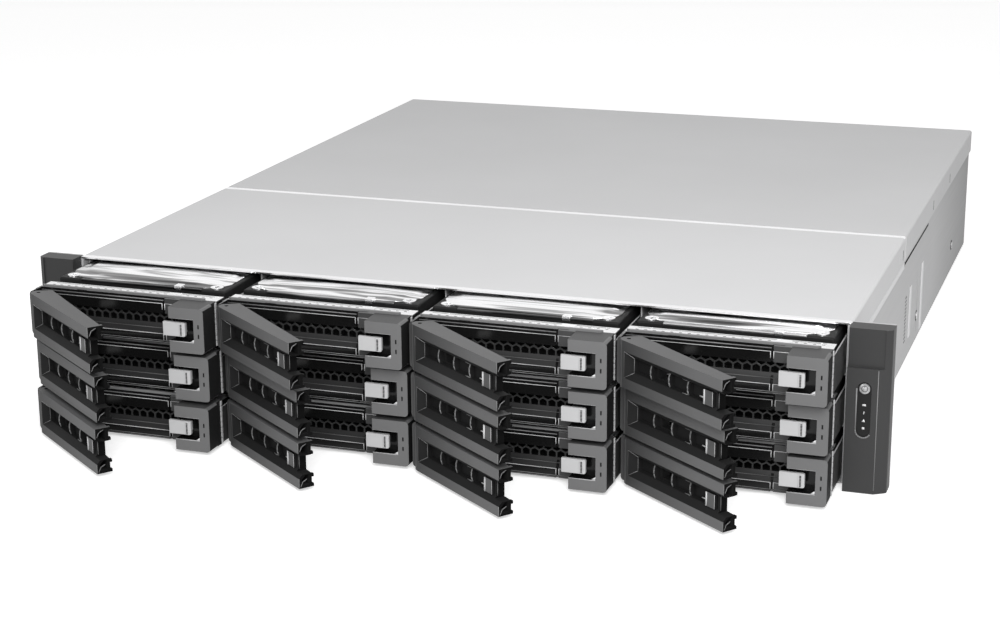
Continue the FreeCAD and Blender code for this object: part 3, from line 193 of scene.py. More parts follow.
floor_mesh = bpy.data.meshes.new("floor")
floor_z = cad_box[0][2] - FLOOR_GAP
corners = [(x * FLOOR_REACH, y * FLOOR_REACH, floor_z) for x, y in ((-1, -1), (1, -1), (1, 1), (-1, 1))]
floor_mesh.from_pydata(corners, [], [(0, 1, 2, 3)])
floor_mesh.materials.append(floor_paint)
floor = bpy.data.objects.new("floor", floor_mesh)
bpy.context.scene.collection.objects.link(floor)
print(f"floor at {floor_z / MM:.1f} mm")

# %% [markdown]
# ## Finishes
# Almost everything here is sheet steel, moulded plastic or plated metal, so one function writes
# them all. Each finish has a slow noise that shifts its colour a little, a fine noise that gives
# the grain as bump, and for drawn sheet a noise stretched along one axis, which reads as brushing.
# Object coordinates are used, because every piece sits at the origin in real metres. Each finish
# is then written in the cell of the piece that first wears it.

# %% A finish
DRAWN_SCALE, GRAIN_DEPTH = 0.012, 0.0002


def grey(value):
    return (value, value, value * 1.01)


def colour_ramp(tree, factor, stops):
    """A ramp of (position, colour) stops, driven by an output."""
    ramp = tree.nodes.new("ShaderNodeValToRGB")
    elements = ramp.color_ramp.elements
    for k, (position, colour) in enumerate(stops):
        stop = elements[k] if k < 2 else elements.new(position)
        stop.position = position
        stop.color = (*colour, 1)
    link(tree, factor, ramp.inputs["Fac"])
    return ramp.outputs["Color"]


def finish(name, colour, rough, metal=0.0, grain=1800.0, bump=0.08, shade=0.08, drawn=None,
           patch=9.0, gloss=0.5):
    """drawn stretches the grain along an axis; shade is how far the colour wanders."""
    material = bpy.data.materials.new(name)
    material.use_nodes = True
    tree = material.node_tree
    shader = tree.nodes["Principled BSDF"].inputs
    shader["Metallic"].default_value = metal
    shader["Specular IOR Level"].default_value = gloss
    place = tree.nodes.new("ShaderNodeTexCoord").outputs["Object"]
    scale = [DRAWN_SCALE if axis == drawn else 1.0 for axis in "xyz"]
    stretch = add_node(tree, "ShaderNodeMapping", Scale=scale)
    link(tree, place, stretch.inputs["Vector"])
    fine = add_node(tree, "ShaderNodeTexNoise", Scale=grain, Detail=3.0)
    link(tree, stretch.outputs["Vector"], fine.inputs["Vector"])
    slow = add_node(tree, "ShaderNodeTexNoise", Scale=patch, Detail=5.0)
    link(tree, place, slow.inputs["Vector"])
    dark = [c * (1 - shade) for c in colour]
    light = [min(1.0, c * (1 + shade)) for c in colour]
    tint = colour_ramp(tree, slow.outputs["Fac"], ((0.3, dark), (0.7, light)))
    link(tree, tint, shader["Base Color"])
    spread = add_node(tree, "ShaderNodeMapRange", To_Min=rough * 0.8, To_Max=min(1.0, rough * 1.2))
    link(tree, fine.outputs["Fac"], spread.inputs["Value"])
    link(tree, spread.outputs["Result"], shader["Roughness"])
    relief = add_node(tree, "ShaderNodeBump", Strength=bump, Distance=GRAIN_DEPTH)
    link(tree, fine.outputs["Fac"], relief.inputs["Height"])
    link(tree, relief.outputs["Normal"], shader["Normal"])
    return material


print("one function for all the finishes")

# %% [markdown]
# ## Finishes that run from one tone to another
# Some surfaces are darker at one end than at the other, because less light gets there. A number
# stored on the mesh's points says how far along a point lies, and the finish reads it through an
# Attribute node. Cards that block the lamps could do it too, but then it would depend on the room.

# %% Graded finish
GRADED_END = 0.75


def recolour(material, colour):
    """Feeds a finish's colour from another output."""
    link(material.node_tree, colour, material.node_tree.nodes["Principled BSDF"].inputs["Base Color"])
    return material


def graded(material, attribute, dark, light):
    """Lets a finish's grey run from dark to light with a point attribute."""
    tree = material.node_tree
    share = tree.nodes.new("ShaderNodeAttribute")
    share.attribute_name = attribute
    stops = ((0.0, grey(dark)), (GRADED_END, grey(light)))
    return recolour(material, colour_ramp(tree, share.outputs["Fac"], stops))


def set_shares(mesh, attribute, measure):
    """Stores a number on each point, worked out from its place."""
    layer = mesh.attributes.new(attribute, "FLOAT", "POINT")
    for vert, share in zip(mesh.vertices, layer.data):
        share.value = measure(vert.co)


print("graded finishes end at a share of", GRADED_END)

# %% [markdown]
# ## Taking a solid from the frame
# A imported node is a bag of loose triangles. Merging its points, parting it into its solids and
# dissolving flat neighbours gives clean faces again. Modelling every piece again from nothing
# would risk leaving the frame's sizes. The node's own mesh is only read, never changed.

# %% Solids from the frame
MERGE, FLAT = 2e-6, math.radians(1)


def node_shape(name):
    """A node's mesh with its points merged, in millimetres."""
    shape = bmesh.new()
    shape.from_mesh(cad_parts[name].data)
    bmesh.ops.remove_doubles(shape, verts=shape.verts, dist=MERGE)
    bmesh.ops.scale(shape, vec=(1 / MM,) * 3, verts=shape.verts)
    return shape


def part_solids(shape):
    """One mesh for each closed solid, found by walking over edges that join two faces."""
    shape.faces.ensure_lookup_table()
    found, solids = set(), []
    for seed in shape.faces:
        if seed in found:
            continue
        group, waiting = [], [seed]
        found.add(seed)
        while waiting:
            face = waiting.pop()
            group.append(face)
            for edge in face.edges:
                if len(edge.link_faces) != 2:
                    continue
                for other in edge.link_faces:
                    if other not in found:
                        found.add(other)
                        waiting.append(other)
        solid = bmesh.new()
        made = {}
        for face in group:
            for vert in face.verts:
                if vert not in made:
                    made[vert] = solid.verts.new(vert.co)
            solid.faces.new([made[v] for v in face.verts])
        solids.append(solid)
    shape.free()
    return solids


def clean_faces(shape):
    bmesh.ops.dissolve_limit(shape, angle_limit=FLAT, verts=shape.verts, edges=shape.edges)
    shape.normal_update()
    return shape


print("points closer than", MERGE, "m are merged")

# %% [markdown]
# ## From a shape to a finished piece
# No fold or moulding has a knife edge. A Bevel modifier gives each sharp edge a small radius that
# catches the light, and Weighted Normal keeps the flat faces flat in the shading. The evaluated
# result is kept as a plain mesh, which then rides one body of the frame.

# %% Finished pieces


def to_mesh(shape, name, finishes):
    """A mesh in metres from a shape in millimetres."""
    mesh = bpy.data.meshes.new(name)
    shape.to_mesh(mesh)
    shape.free()
    mesh.transform(Matrix.Scale(MM, 4))
    for material in finishes:
        mesh.materials.append(material)
    mesh.shade_smooth()
    return mesh


def evaluated(mesh, name, *modifiers):
    """The mesh after a list of (kind, settings) modifiers, as a plain mesh."""
    holder = bpy.data.objects.new(name, mesh)
    bpy.context.scene.collection.objects.link(holder)
    for kind, settings in modifiers:
        modifier = holder.modifiers.new(kind.lower(), kind)
        for key, value in settings.items():
            setattr(modifier, key, value)
    depsgraph = bpy.context.evaluated_depsgraph_get()
    result = bpy.data.meshes.new_from_object(holder.evaluated_get(depsgraph), depsgraph=depsgraph)
    bpy.data.objects.remove(holder)
    result.name = name
    return result


def softened(shape, name, finishes, radius=0.25, segments=2, angle=28):
    """Bevels the sharp edges and evens the shading."""
    mesh = to_mesh(shape, name, finishes)
    bevel = {"width": radius * MM, "segments": segments, "limit_method": "ANGLE",
             "angle_limit": math.radians(angle), "miter_outer": "MITER_ARC"}
    return evaluated(mesh, name, ("BEVEL", bevel), ("WEIGHTED_NORMAL", {"keep_sharp": True}))


def add_piece(name, mesh, body, slot, *nodes):
    """Puts a finished mesh in the scene on its body."""
    piece = bpy.data.objects.new(name, mesh)
    bpy.context.scene.collection.objects.link(piece)
    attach(piece, body)
    if nodes:
        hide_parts(*nodes)
    return piece


# %% [markdown]
# ## A whole node as a piece
# Many pieces are the frame's solid with softer edges and a finish. Where a node wears more than
# one, a small function looks at each face's centre and normal and picks the finish by number.

# %% Dressed nodes
NEAR, FACING = 0.1, 0.9


def paint_faces(shape, choose):
    for face in shape.faces:
        face.material_index = choose(face.calc_center_median(), face.normal)
    return shape


def cut_along(shape, place, normal):
    """Cuts all faces along a plane, so that the two sides can wear different finishes."""
    everything = shape.verts[:] + shape.edges[:] + shape.faces[:]
    bmesh.ops.bisect_plane(shape, geom=everything, plane_co=place, plane_no=normal)
    shape.normal_update()


def dressed_node(name, body, slot, finishes, choose=None, radius=0.25, segments=2):
    """A whole node softened and painted, in place of its CAD mesh."""
    whole = bmesh.new()
    for solid in part_solids(node_shape(name)):
        scratch = bpy.data.meshes.new("scratch")
        clean_faces(solid).to_mesh(scratch)
        solid.free()
        whole.from_mesh(scratch)
        bpy.data.meshes.remove(scratch)
    whole.normal_update()
    if choose:
        paint_faces(whole, choose)
    mesh = softened(whole, name, finishes, radius, segments)
    return add_piece(name + "_finished", mesh, body, slot, name)


print("a face counts as facing an axis from", FACING)

# %% [markdown]
# ## Covers
# The two covers are bent from sheet steel under a smooth light grey coat. Narrow strips along the
# front cover's front and rear edges wear bright metal: painted highlight where those edges catch
# the light. The mesh is cut along two planes and the strips beyond them get a finish of their own,
# which keeps the lines sharp. The rear cover's coat is darker, as painted shade.

# %% Covers
FRONT_Y, REAR_Y, FRONT_COVER_D = -259.6, 259.6, 187.2
SEAM_Y, COVER_TOP, COVER_X = FRONT_Y + FRONT_COVER_D, 86.0, 219.45
EDGE_STRIP, SEAM_STRIP = 4.2, 4.5

cover_coat = finish("cover coat", grey(0.63), 0.5, grain=2600, bump=0.05, shade=0.02, gloss=0.15)
# The rear cover wears the front's coat made darker: painted shade, as less light reaches the rear.
rear_coat_shaded = finish("rear cover coat", grey(0.585), 0.5, grain=2600, bump=0.05, shade=0.02, gloss=0.15)
# Bare steel for screws, pins and the lid tab; on the front cover's edge strips it is painted highlight.
bare_steel_and_edge_highlight = finish("bare steel and edge highlight", grey(0.88), 0.22, metal=1.0, grain=700, bump=0.1, drawn="x")


def front_cover_with_edge_highlights():
    """The front cover, whose strips along its front and rear edges get bright metal as painted highlight.
    """
    cover = clean_faces(node_shape("front_cover"))
    front, rear = FRONT_Y + EDGE_STRIP, SEAM_Y - SEAM_STRIP
    for y in (front, rear):
        cut_along(cover, (0, y, 0), (0, 1, 0))
    paint_faces(cover, lambda centre, normal: 0 if front < centre.y < rear or abs(normal.x) > FACING else 1)
    mesh = softened(cover, "front cover", [cover_coat, bare_steel_and_edge_highlight], radius=0.3)
    add_piece("front_cover_finished", mesh, "chassis", "grey_paint", "front_cover")


front_cover_with_edge_highlights()
dressed_node("rear_cover", "chassis", "grey_paint", [rear_coat_shaded], radius=0.3)
print(f"covers with their seam at {SEAM_Y:.1f} mm")

# %% [markdown]
# ## Tub
# The tub is plain zinc sheet, drawn along its length. The side wall gets darker towards the rear,
# where less of the key box reaches it, so its finish is graded with the depth of each point.

# %% Tub
FADE = 253.0
wall_zinc = finish("zinc wall", grey(0.50), 0.45, metal=0.15, grain=900, bump=0.06, drawn="y", gloss=0.2)
graded(wall_zinc, "depth", 0.31, 0.50)
tub = dressed_node("chassis_tub", "chassis", "zinc_steel", [wall_zinc], radius=0.2)
set_shares(tub.data, "depth", lambda place: (REAR_Y - place.y / MM) / FADE)
print("tub with", len(tub.data.polygons), "faces")

# %% [markdown]
# ## Seam
# Where the covers meet, the eye looks down into a narrow dark gap. A black strip just below the
# sheet is painted shade: it keeps the gap dark at every angle, and is simpler than modelling the
# overlap under it.

# %% Seam
SEAM_SHADE_INSET, SEAM_SHADE_START, SEAM_SHADE_END, SEAM_SHADE_LOW, SEAM_SHADE_HIGH = 1.0, 0.05, 0.75, 1.0, 0.6
# Near black for painted shade: pockets, holes, slots and gaps that lie in shade are painted with it.
painted_shade_black = finish("pocket black", grey(0.014), 0.6, grain=2200, bump=0.12, shade=0.15, gloss=0.08)


def add_box(shape, x0, x1, y0, y1, z0, z1, index=0):
    corners = [shape.verts.new((x, y, z)) for x in (x0, x1) for y in (y0, y1) for z in (z0, z1)]
    for quad in ((0, 1, 3, 2), (4, 6, 7, 5), (0, 4, 5, 1), (2, 3, 7, 6), (0, 2, 6, 4), (1, 5, 7, 3)):
        face = shape.faces.new([corners[k] for k in quad])
        face.material_index = index
    return shape


# The black box is painted shade in the gap between the covers.
seam_shade = bmesh.new()
add_box(seam_shade, -COVER_X + SEAM_SHADE_INSET, COVER_X - SEAM_SHADE_INSET, SEAM_Y + SEAM_SHADE_START, SEAM_Y + SEAM_SHADE_END,
        COVER_TOP - SEAM_SHADE_LOW, COVER_TOP - SEAM_SHADE_HIGH)
add_piece("seam_shade_strip", to_mesh(seam_shade, "cover hem", [painted_shade_black]), "chassis", "grey_paint")
print(f"dark strip {SEAM_SHADE_END - SEAM_SHADE_START:.1f} mm wide in the seam")

# %% [markdown]
# ## Wall beads and slots
# Under the front cover's flange a rolled bead runs along each wall, and behind the seam a long
# dark slot with a wider head, a thin black sheet on the wall that is painted shade. Both are boxes;
# a wide bevel rolls the bead round. The bead's zinc is lighter than the wall's, as painted highlight.

# %% Wall beads and slots
WALL_X, WALL_MARK = 218.3, 0.1
BEAD_H, BEAD_T, BEAD_Z, BEAD_START = 4.2, 1.1, 66.2, 6.0
SLOT_H, SLOT_START, SLOT_END = 1.5, 6.0, 112.0
SLOT_HEAD, SLOT_HEAD_END, SLOT_HEAD_LOW, SLOT_HEAD_HIGH = 2.0, 8.0, 0.8, 2.2
# Lighter zinc than the wall's, for the bead and the ribs: painted highlight on the same sheet.
bead_zinc_with_highlight = finish("rolled bead", grey(0.70), 0.4, metal=0.1, grain=900, bump=0.06, shade=0.05, drawn="y")


def joined(name, *meshes):
    """One mesh from several, each keeping its own finishes."""
    together, finishes = bmesh.new(), []
    for mesh in meshes:
        lookup = []
        for material in mesh.materials:
            if material not in finishes:
                finishes.append(material)
            lookup.append(finishes.index(material))
        first = len(together.faces)
        together.from_mesh(mesh)
        together.faces.ensure_lookup_table()
        for face in together.faces[first:]:
            face.material_index = lookup[face.material_index] if lookup else 0
        bpy.data.meshes.remove(mesh)
    result = bpy.data.meshes.new(name)
    together.to_mesh(result)
    together.free()
    for material in finishes:
        result.materials.append(material)
    return result


# The slots are thin black sheets on the wall: painted shade.
bead, slots = bmesh.new(), bmesh.new()
for side in (-1, 1):
    inner, outer = sorted((side * WALL_X, side * (WALL_X + BEAD_T)))
    add_box(bead, inner, outer, FRONT_Y + BEAD_START, SEAM_Y, BEAD_Z, BEAD_Z + BEAD_H)
    inner, outer = sorted((side * WALL_X, side * (WALL_X + WALL_MARK)))
    add_box(slots, inner, outer, SEAM_Y + SLOT_START, SEAM_Y + SLOT_END, BEAD_Z, BEAD_Z + SLOT_H)
    add_box(slots, inner, outer, SEAM_Y + SLOT_HEAD, SEAM_Y + SLOT_HEAD_END,
            BEAD_Z - SLOT_HEAD_LOW, BEAD_Z + SLOT_HEAD_HIGH)
bead_and_highlight_mesh = softened(bead, "wall bead", [bead_zinc_with_highlight], radius=1.0, segments=4)
slot_mesh = to_mesh(slots, "wall slots", [painted_shade_black])
add_piece("wall_beads", joined("wall beads", bead_and_highlight_mesh, slot_mesh), "chassis", "zinc_steel")
print(f"wall beads {BEAD_H} mm high")

# %% [markdown]
# ## Node trees for what repeats
# Perforations, ribs, screws and guard rings are all one small shape set out by a rule. Geometry
# Nodes hold the rule with named inputs, so a change of pitch or count is one number. Each tree
# ends in Realize Instances and Set Material, and is turned into a plain mesh at once. Each tree
# is built in the cell that first needs it.

# %% Tree helpers


class Tree:
    """A geometry node tree under construction."""

    def __init__(self, name, **inputs):
        self.tree = bpy.data.node_groups.new(name, "GeometryNodeTree")
        self.tree.interface.new_socket("Geometry", in_out="OUTPUT", socket_type="NodeSocketGeometry")
        for label, kind in inputs.items():
            self.tree.interface.new_socket(label, in_out="INPUT", socket_type="NodeSocket" + kind)
        self.start = self.tree.nodes.new("NodeGroupInput")
        self.end = self.tree.nodes.new("NodeGroupOutput")

    def given(self, label):
        return self.start.outputs[label]

    def add(self, kind, out=0, settings=None, **inputs):
        """Adds a node, wires or sets its inputs (n0, n1... by place) and returns an output."""
        made = self.tree.nodes.new(kind)
        for key, value in (settings or {}).items():
            setattr(made, key, value)
        for key, value in inputs.items():
            by_place = key[0] == "n" and key[1:].isdigit()
            socket = made.inputs[int(key[1:]) if by_place else key.replace("_", " ")]
            if isinstance(value, bpy.types.NodeSocket):
                self.tree.links.new(value, socket)
            else:
                socket.default_value = value
        return made.outputs[out]

    def calc(self, a, b, operation="ADD"):
        return self.add("ShaderNodeMath", settings={"operation": operation}, n0=a, n1=b)

    def vector(self, x, y, z):
        return self.add("ShaderNodeCombineXYZ", X=x, Y=y, Z=z)

    def less(self, whole, part):
        return self.add("GeometryNodeMeshBoolean", settings={"operation": "DIFFERENCE"}, n0=whole, n1=part)

    def close(self, geometry):
        real = self.add("GeometryNodeRealizeInstances", Geometry=geometry)
        painted = self.add("GeometryNodeSetMaterial", Geometry=real, Material=self.given("Finish"))
        self.tree.links.new(painted, self.end.inputs["Geometry"])
        return self.tree


def grown(tree, name, base=None, **values):
    """Runs a tree with the given inputs and returns its result as a plain mesh."""
    holder = bpy.data.objects.new(name, base or bpy.data.meshes.new(name))
    bpy.context.scene.collection.objects.link(holder)
    modifier = holder.modifiers.new(name, "NODES")
    modifier.node_group = tree
    items = [item for item in tree.interface.items_tree if item.in_out == "INPUT"]
    sockets = {item.name: item.identifier for item in items}
    for label, value in values.items():
        modifier[sockets[label]] = value
    depsgraph = bpy.context.evaluated_depsgraph_get()
    result = bpy.data.meshes.new_from_object(holder.evaluated_get(depsgraph), depsgraph=depsgraph)
    holder.modifiers.remove(modifier)
    bpy.data.objects.remove(holder)
    result.name = name
    return result


print("tree helpers ready")

# %% [markdown]
# ## Rows of blocks
# Dots, pads, notches and blades are rows of one block. A Mesh Line gives the places and Instance
# on Points sets a cube on each, so count, step and size stay apart. A single block is a row of one.

# %% Rows of blocks


def block_row_tree():
    """A row of small blocks from a first place, one step apart."""
    t = Tree("row of blocks", Count="Int", First="Vector", Step="Vector", Size="Vector", Finish="Material")
    line = t.add("GeometryNodeMeshLine", settings={"mode": "OFFSET"}, Count=t.given("Count"),
                 Start_Location=t.given("First"), Offset=t.given("Step"))
    block = t.add("GeometryNodeMeshCube", Size=t.given("Size"))
    return t.close(t.add("GeometryNodeInstanceOnPoints", Points=line, Instance=block))


def block_row(name, count, first, step, size, material):
    """A row of blocks in millimetres."""
    first, step, size = ([v * MM for v in values] for values in (first, step, size))
    return grown(BLOCK_ROW, name, Count=count, First=first, Step=step, Size=size, Finish=material)


def block(name, middle, size, material):
    """One block in millimetres."""
    return block_row(name, 1, middle, (0, 0, 0), size, material)


BLOCK_ROW = block_row_tree()
print("tree:", BLOCK_ROW.name)

# %% [markdown]
# ## Screw heads
# A screw head is a short cylinder with two bars cut out of its top as a cross. The tree sets it on
# the points of a base mesh, so a list of places is all that a row of screws needs.

# %% Screw heads
SCREW_SIDES, CROSS_LONG, CROSS_NARROW = 20, 1.1, 0.28


def screw_tree():
    """Round heads with a cross recess on the base mesh's points, all turned the same way."""
    t = Tree("screw heads", Radius="Float", Height="Float", Turn="Vector", Finish="Material")
    t.tree.interface.new_socket("Points", in_out="INPUT", socket_type="NodeSocketGeometry")
    t.tree.interface.move(t.tree.interface.items_tree["Points"], 0)
    head = t.add("GeometryNodeMeshCylinder", Vertices=SCREW_SIDES, Radius=t.given("Radius"),
                 Depth=t.given("Height"))
    long = t.calc(t.given("Radius"), CROSS_LONG, "MULTIPLY")
    narrow = t.calc(t.given("Radius"), CROSS_NARROW, "MULTIPLY")
    raised = t.vector(0.0, 0.0, t.calc(t.given("Height"), 0.5, "MULTIPLY"))
    for x, y in ((long, narrow), (narrow, long)):
        bar = t.add("GeometryNodeMeshCube", Size=t.vector(x, y, t.given("Height")))
        head = t.less(head, t.add("GeometryNodeTransform", Geometry=bar, Translation=raised))
    seated = t.add("GeometryNodeTransform", Geometry=head, Translation=raised)
    turned = t.add("GeometryNodeTransform", Geometry=seated, Rotation=t.given("Turn"))
    return t.close(t.add("GeometryNodeInstanceOnPoints", Points=t.given("Points"), Instance=turned))


def screw_heads(name, places, radius, height, turn, material):
    """Screw heads on a list of places in millimetres."""
    base = bpy.data.meshes.new(name + " places")
    base.from_pydata([[v * MM for v in place] for place in places], [], [])
    return grown(SCREWS, name, base, Radius=radius * MM, Height=height * MM, Turn=turn, Finish=material)


SCREWS = screw_tree()
TO_REAR, TO_TOP = (-math.pi / 2, 0, 0), (0, 0, 0)
print("tree:", SCREWS.name)

# %% [markdown]
# ## Side marks
# Each side wall has, from the front, two rows of dots, a lanced rib, a rail pin, a tall rib and a
# second pin. The covers' flanges have three short nicks. They are rows of blocks and screw heads.

# %% Side marks
DOTS_AT, DOTS_Z, DOTS_COUNT, DOTS_STEP, DOTS_ROW = 208.0, 15.0, 13, 2.3, 3.2
DOT_SIZE = (0.1, 1.8, 1.0)
RIBS, RIB_OUT, RIB_T = ((228.0, 13.0, 45.0, 6.0), (280.0, 4.0, 47.0, 6.5)), 0.2, 0.5
NICKS, NICK_Z, NICK_SIZE, NICK_IN = (178.9, 312.4, 395.6), 76.5, (0.1, 1.5, 6.0), 0.03
PINS, PIN_R, PIN_T, SEAT_R, SEAT_T = ((260.0, 17.5), (436.0, 20.0)), 2.4, 0.5, 3.4, 0.15
turned_metal = finish("turned steel", grey(0.8), 0.22, metal=1.0, grain=1500, bump=0.1, shade=0.05)

side_marks = []
# The dots, nicks and pin seats are thin black blocks: painted shade in the holes and recesses. The ribs
# wear the bead's lighter zinc, painted highlight.
for side in (-1, 1):
    for row in range(2):
        first = (side * WALL_X, FRONT_Y + DOTS_AT + DOTS_ROW * row, DOTS_Z)
        side_marks.append(block_row("dots", DOTS_COUNT, first, (0, 0, DOTS_STEP), DOT_SIZE, painted_shade_black))
    for at, low, high, wide in RIBS:
        middle = (side * (WALL_X + RIB_OUT), FRONT_Y + at, (low + high) / 2)
        side_marks.append(block("rib", middle, (RIB_T, wide, high - low), bead_zinc_with_highlight))
    for at in NICKS:
        middle = (side * (COVER_X - NICK_IN), FRONT_Y + at, NICK_Z)
        side_marks.append(block("nick", middle, NICK_SIZE, painted_shade_black))
    turn = (0, side * math.pi / 2, 0)
    places = [(side * WALL_X, FRONT_Y + at, z) for at, z in PINS]
    side_marks.append(screw_heads("side pins", places, PIN_R, PIN_T, turn, turned_metal))
    side_marks.append(screw_heads("side pin seats", places, SEAT_R, SEAT_T, turn, painted_shade_black))
print(len(side_marks), "groups of side marks")
add_piece("side_details", joined("side details", *side_marks), "chassis", "zinc_steel")

# %% [markdown]
# ## Cover screws
# Two knurled thumb screws hold the rear cover's tabs. The head is a turned disc, so the frame's
# solid is kept and a cross recess from the screw tree goes on its face.

# %% Cover screws
THUMB_R, CROSS_R, CROSS_T = 4.0, 2.4, 0.3
dressed_node("cover_screws", "chassis", "screw_steel", [turned_metal], radius=0.4)
screw_low, screw_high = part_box("cover_screws")
cross_y, cross_z = screw_high.y / MM - CROSS_T, (screw_low.z + screw_high.z) / 2 / MM
places = [(x, cross_y, cross_z) for x in (screw_low.x / MM + THUMB_R, screw_high.x / MM - THUMB_R)]
crosses = screw_heads("thumb screw centres", places, CROSS_R, CROSS_T, TO_REAR, turned_metal)
add_piece("thumb_screw_centres", crosses, "chassis", "screw_steel")
print(len(places), "cover screws")

# %% [markdown]
# ## Twelve bays
# The trays are the same part twelve times, so each of their pieces is finished once, in the first
# tray's own frame, and copied to the bays. The copies differ only in place, which comes from each
# tray's own box. The first tray's node is parted into its five solids, told apart by their depth.
# The drive and the grille are built again further down, with more detail than the solids have.

# %% Bays
BAYS = range(1, 13)


def bay_corner(number):
    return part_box(f"tray_{number:02d}")[0]


def place_in_bays(label, mesh, body, slot):
    """Copies a mesh, made in the tray's own frame, into the twelve bays."""
    for number in BAYS:
        copy = mesh.copy()
        copy.name = f"{label}_{number:02d}"
        copy.transform(Matrix.Translation(bay_corner(number)))
        add_piece(copy.name, copy, f"{body}_{number:02d}", slot, f"{body}_{number:02d}")
    bpy.data.meshes.remove(mesh)


def in_tray_frame(shape):
    bmesh.ops.translate(shape, vec=-bay_corner(1) / MM, verts=shape.verts)
    return shape


def deepness(shape):
    values = [v.co.y for v in shape.verts]
    return max(values) - min(values)


tray_solids = sorted(part_solids(node_shape("tray_01")), key=deepness, reverse=True)
tray_shapes = [clean_faces(in_tray_frame(solid)) for solid in tray_solids]
sled_shape, drive_shape, bezel_shape, pin_shape, grille_shape = tray_shapes
for remade in (drive_shape, grille_shape):
    remade.free()
print(len(BAYS), "bays of", len(tray_shapes), "solids")

# %% [markdown]
# ## Tray fronts
# Each tray's front is one dark moulding: a block with a latch recess at the right, a hinge cheek
# at the left and two glossy rails between them. The block's top lies level with the rails' top,
# so a cut beside it parts them before the faces are painted by their place.

# %% Tray fronts
TRAY_W, BEZEL_H, FLANGE_D = 107.2, 24.8, 11.0
BLOCK_X, RAIL_Y, MID_Z, BLOCK_CUT = 86.9, 13.5, 12.4, 0.3
RECESS_H, RECESS_RIM, RECESS_D = 12.6, 5.9, 7.0
CHEEK_T, CHEEK_CLEAR, SLIT_X, SLIT_W = 2.2, 3.0, 76.3, 1.4
RAMP_LOW, STEP_Z, STEP_D, WINDOW_X = 5.0, 21.9, 1.6, 8.8
LAMP_X0, LAMP_X1 = TRAY_W - 4.0, TRAY_W - 2.0

charcoal = finish("charcoal moulding", grey(0.124), 0.5, grain=2400, bump=0.12, shade=0.06, gloss=0.3)
gloss_black = finish("gloss black rail", grey(0.006), 0.16, grain=1200, bump=0.03, shade=0.2, gloss=0.3)
# The tones below are the same moulding in other greys: satin bar, ramp and block top darker as painted
# shade, satin ledge lighter as painted light on the faces turned up.
satin_shade_grey = finish("satin bar", grey(0.045), 0.35, grain=1800, bump=0.06, shade=0.15, gloss=0.4)
lit_ledge_grey = finish("satin ledge", grey(0.17), 0.4, grain=1800, bump=0.06, shade=0.1, gloss=0.3)
ramp_shade = finish("ramp black", grey(0.022), 0.4, grain=1800, bump=0.06, shade=0.15, gloss=0.25)
block_top_shade = finish("block top", grey(0.062), 0.5, grain=2400, bump=0.12, shade=0.06, gloss=0.2)


def bezel_face(centre, normal):
    """0 charcoal, 1 gloss black, 4 satin ledge as painted light on top faces; 2 pocket black,
    3 satin bar, 5 ramp and 6 block top are darker, as painted shade.
    """
    x, y, z = centre
    on_top = normal.z > FACING and z > BEZEL_H - NEAR
    if x < BLOCK_X - NEAR and y > FLANGE_D:
        if on_top:
            return 4
        if 0.2 < normal.z < 0.6 and normal.y < 0:
            return 5
        on_step = y > RAIL_Y + STEP_D - NEAR and z > STEP_Z and normal.y < -FACING
        return 3 if on_step or x > SLIT_X + SLIT_W else 1
    if x < CHEEK_T + NEAR:
        return 3
    if CHEEK_CLEAR < x < BLOCK_X - NEAR:
        return 2
    in_recess = BLOCK_X < x < TRAY_W - RECESS_RIM + NEAR and abs(z - MID_Z) < RECESS_H / 2 + NEAR
    if in_recess and 0.05 < y < RECESS_D + NEAR:
        return 1
    if on_top:
        return 6
    at_lamp = 0.02 < y < 1.0 and LAMP_X0 < x < LAMP_X1
    return 2 if at_lamp or normal.x > FACING and x > TRAY_W - 1.5 else 0


cut_along(bezel_shape, (BLOCK_X - BLOCK_CUT, 0, 0), (1, 0, 0))
bezel_finishes = [charcoal, gloss_black, painted_shade_black, satin_shade_grey, lit_ledge_grey, ramp_shade, block_top_shade]
bezel_mesh = softened(paint_faces(bezel_shape, bezel_face), "tray front", bezel_finishes)
print("tray front with", len(bezel_mesh.polygons), "faces")

# %% [markdown]
# ## Rail edge highlights
# Rounded edges of dark glossy plastic show as thin bright lines. A bevel alone gives too little
# light at this size, so fine bars in lighter greys lie on the edges as painted highlights: bright
# ones along both rails' upper edges, which turn down beside the slit, and dim ones below. Two more,
# in the latch's grey, outline the latch's recess as painted highlights.

# %% Rail edge highlights
SLIT_DOWN, SLIT_RIGHT, SLIT_EDGE, FOOT_HIGHLIGHTS_Z = 3.4, SLIT_X + SLIT_W, 0.1, (0.4, 1.3)
RAIL_HIGHLIGHT_OUT, RAMP_HIGHLIGHT_Y, RAMP_HIGHLIGHT_Z, STEP_HIGHLIGHT_UP, RECESS_HIGHLIGHT_Y = 0.02, 0.95, 7.9, 1.3, 0.12
# Grey finishes for the bars on the edges: painted highlights in three strengths.
edge_highlight = finish("painted edge highlight", grey(0.50), 0.3, grain=1200, bump=0.05, shade=0.3, patch=60, gloss=0.4)
soft_edge_highlight = finish("soft edge", grey(0.16), 0.35, grain=1200, bump=0.05, shade=0.3, patch=60, gloss=0.4)
dim_edge_highlight = finish("dim edge", grey(0.06), 0.4, grain=1200, bump=0.05, shade=0.3, patch=60, gloss=0.3)
# The latch's own grey; the recess outline below wears it as painted highlight.
latch_grey = finish("latch moulding", grey(0.44), 0.42, grain=2600, bump=0.06, shade=0.03, gloss=0.3)


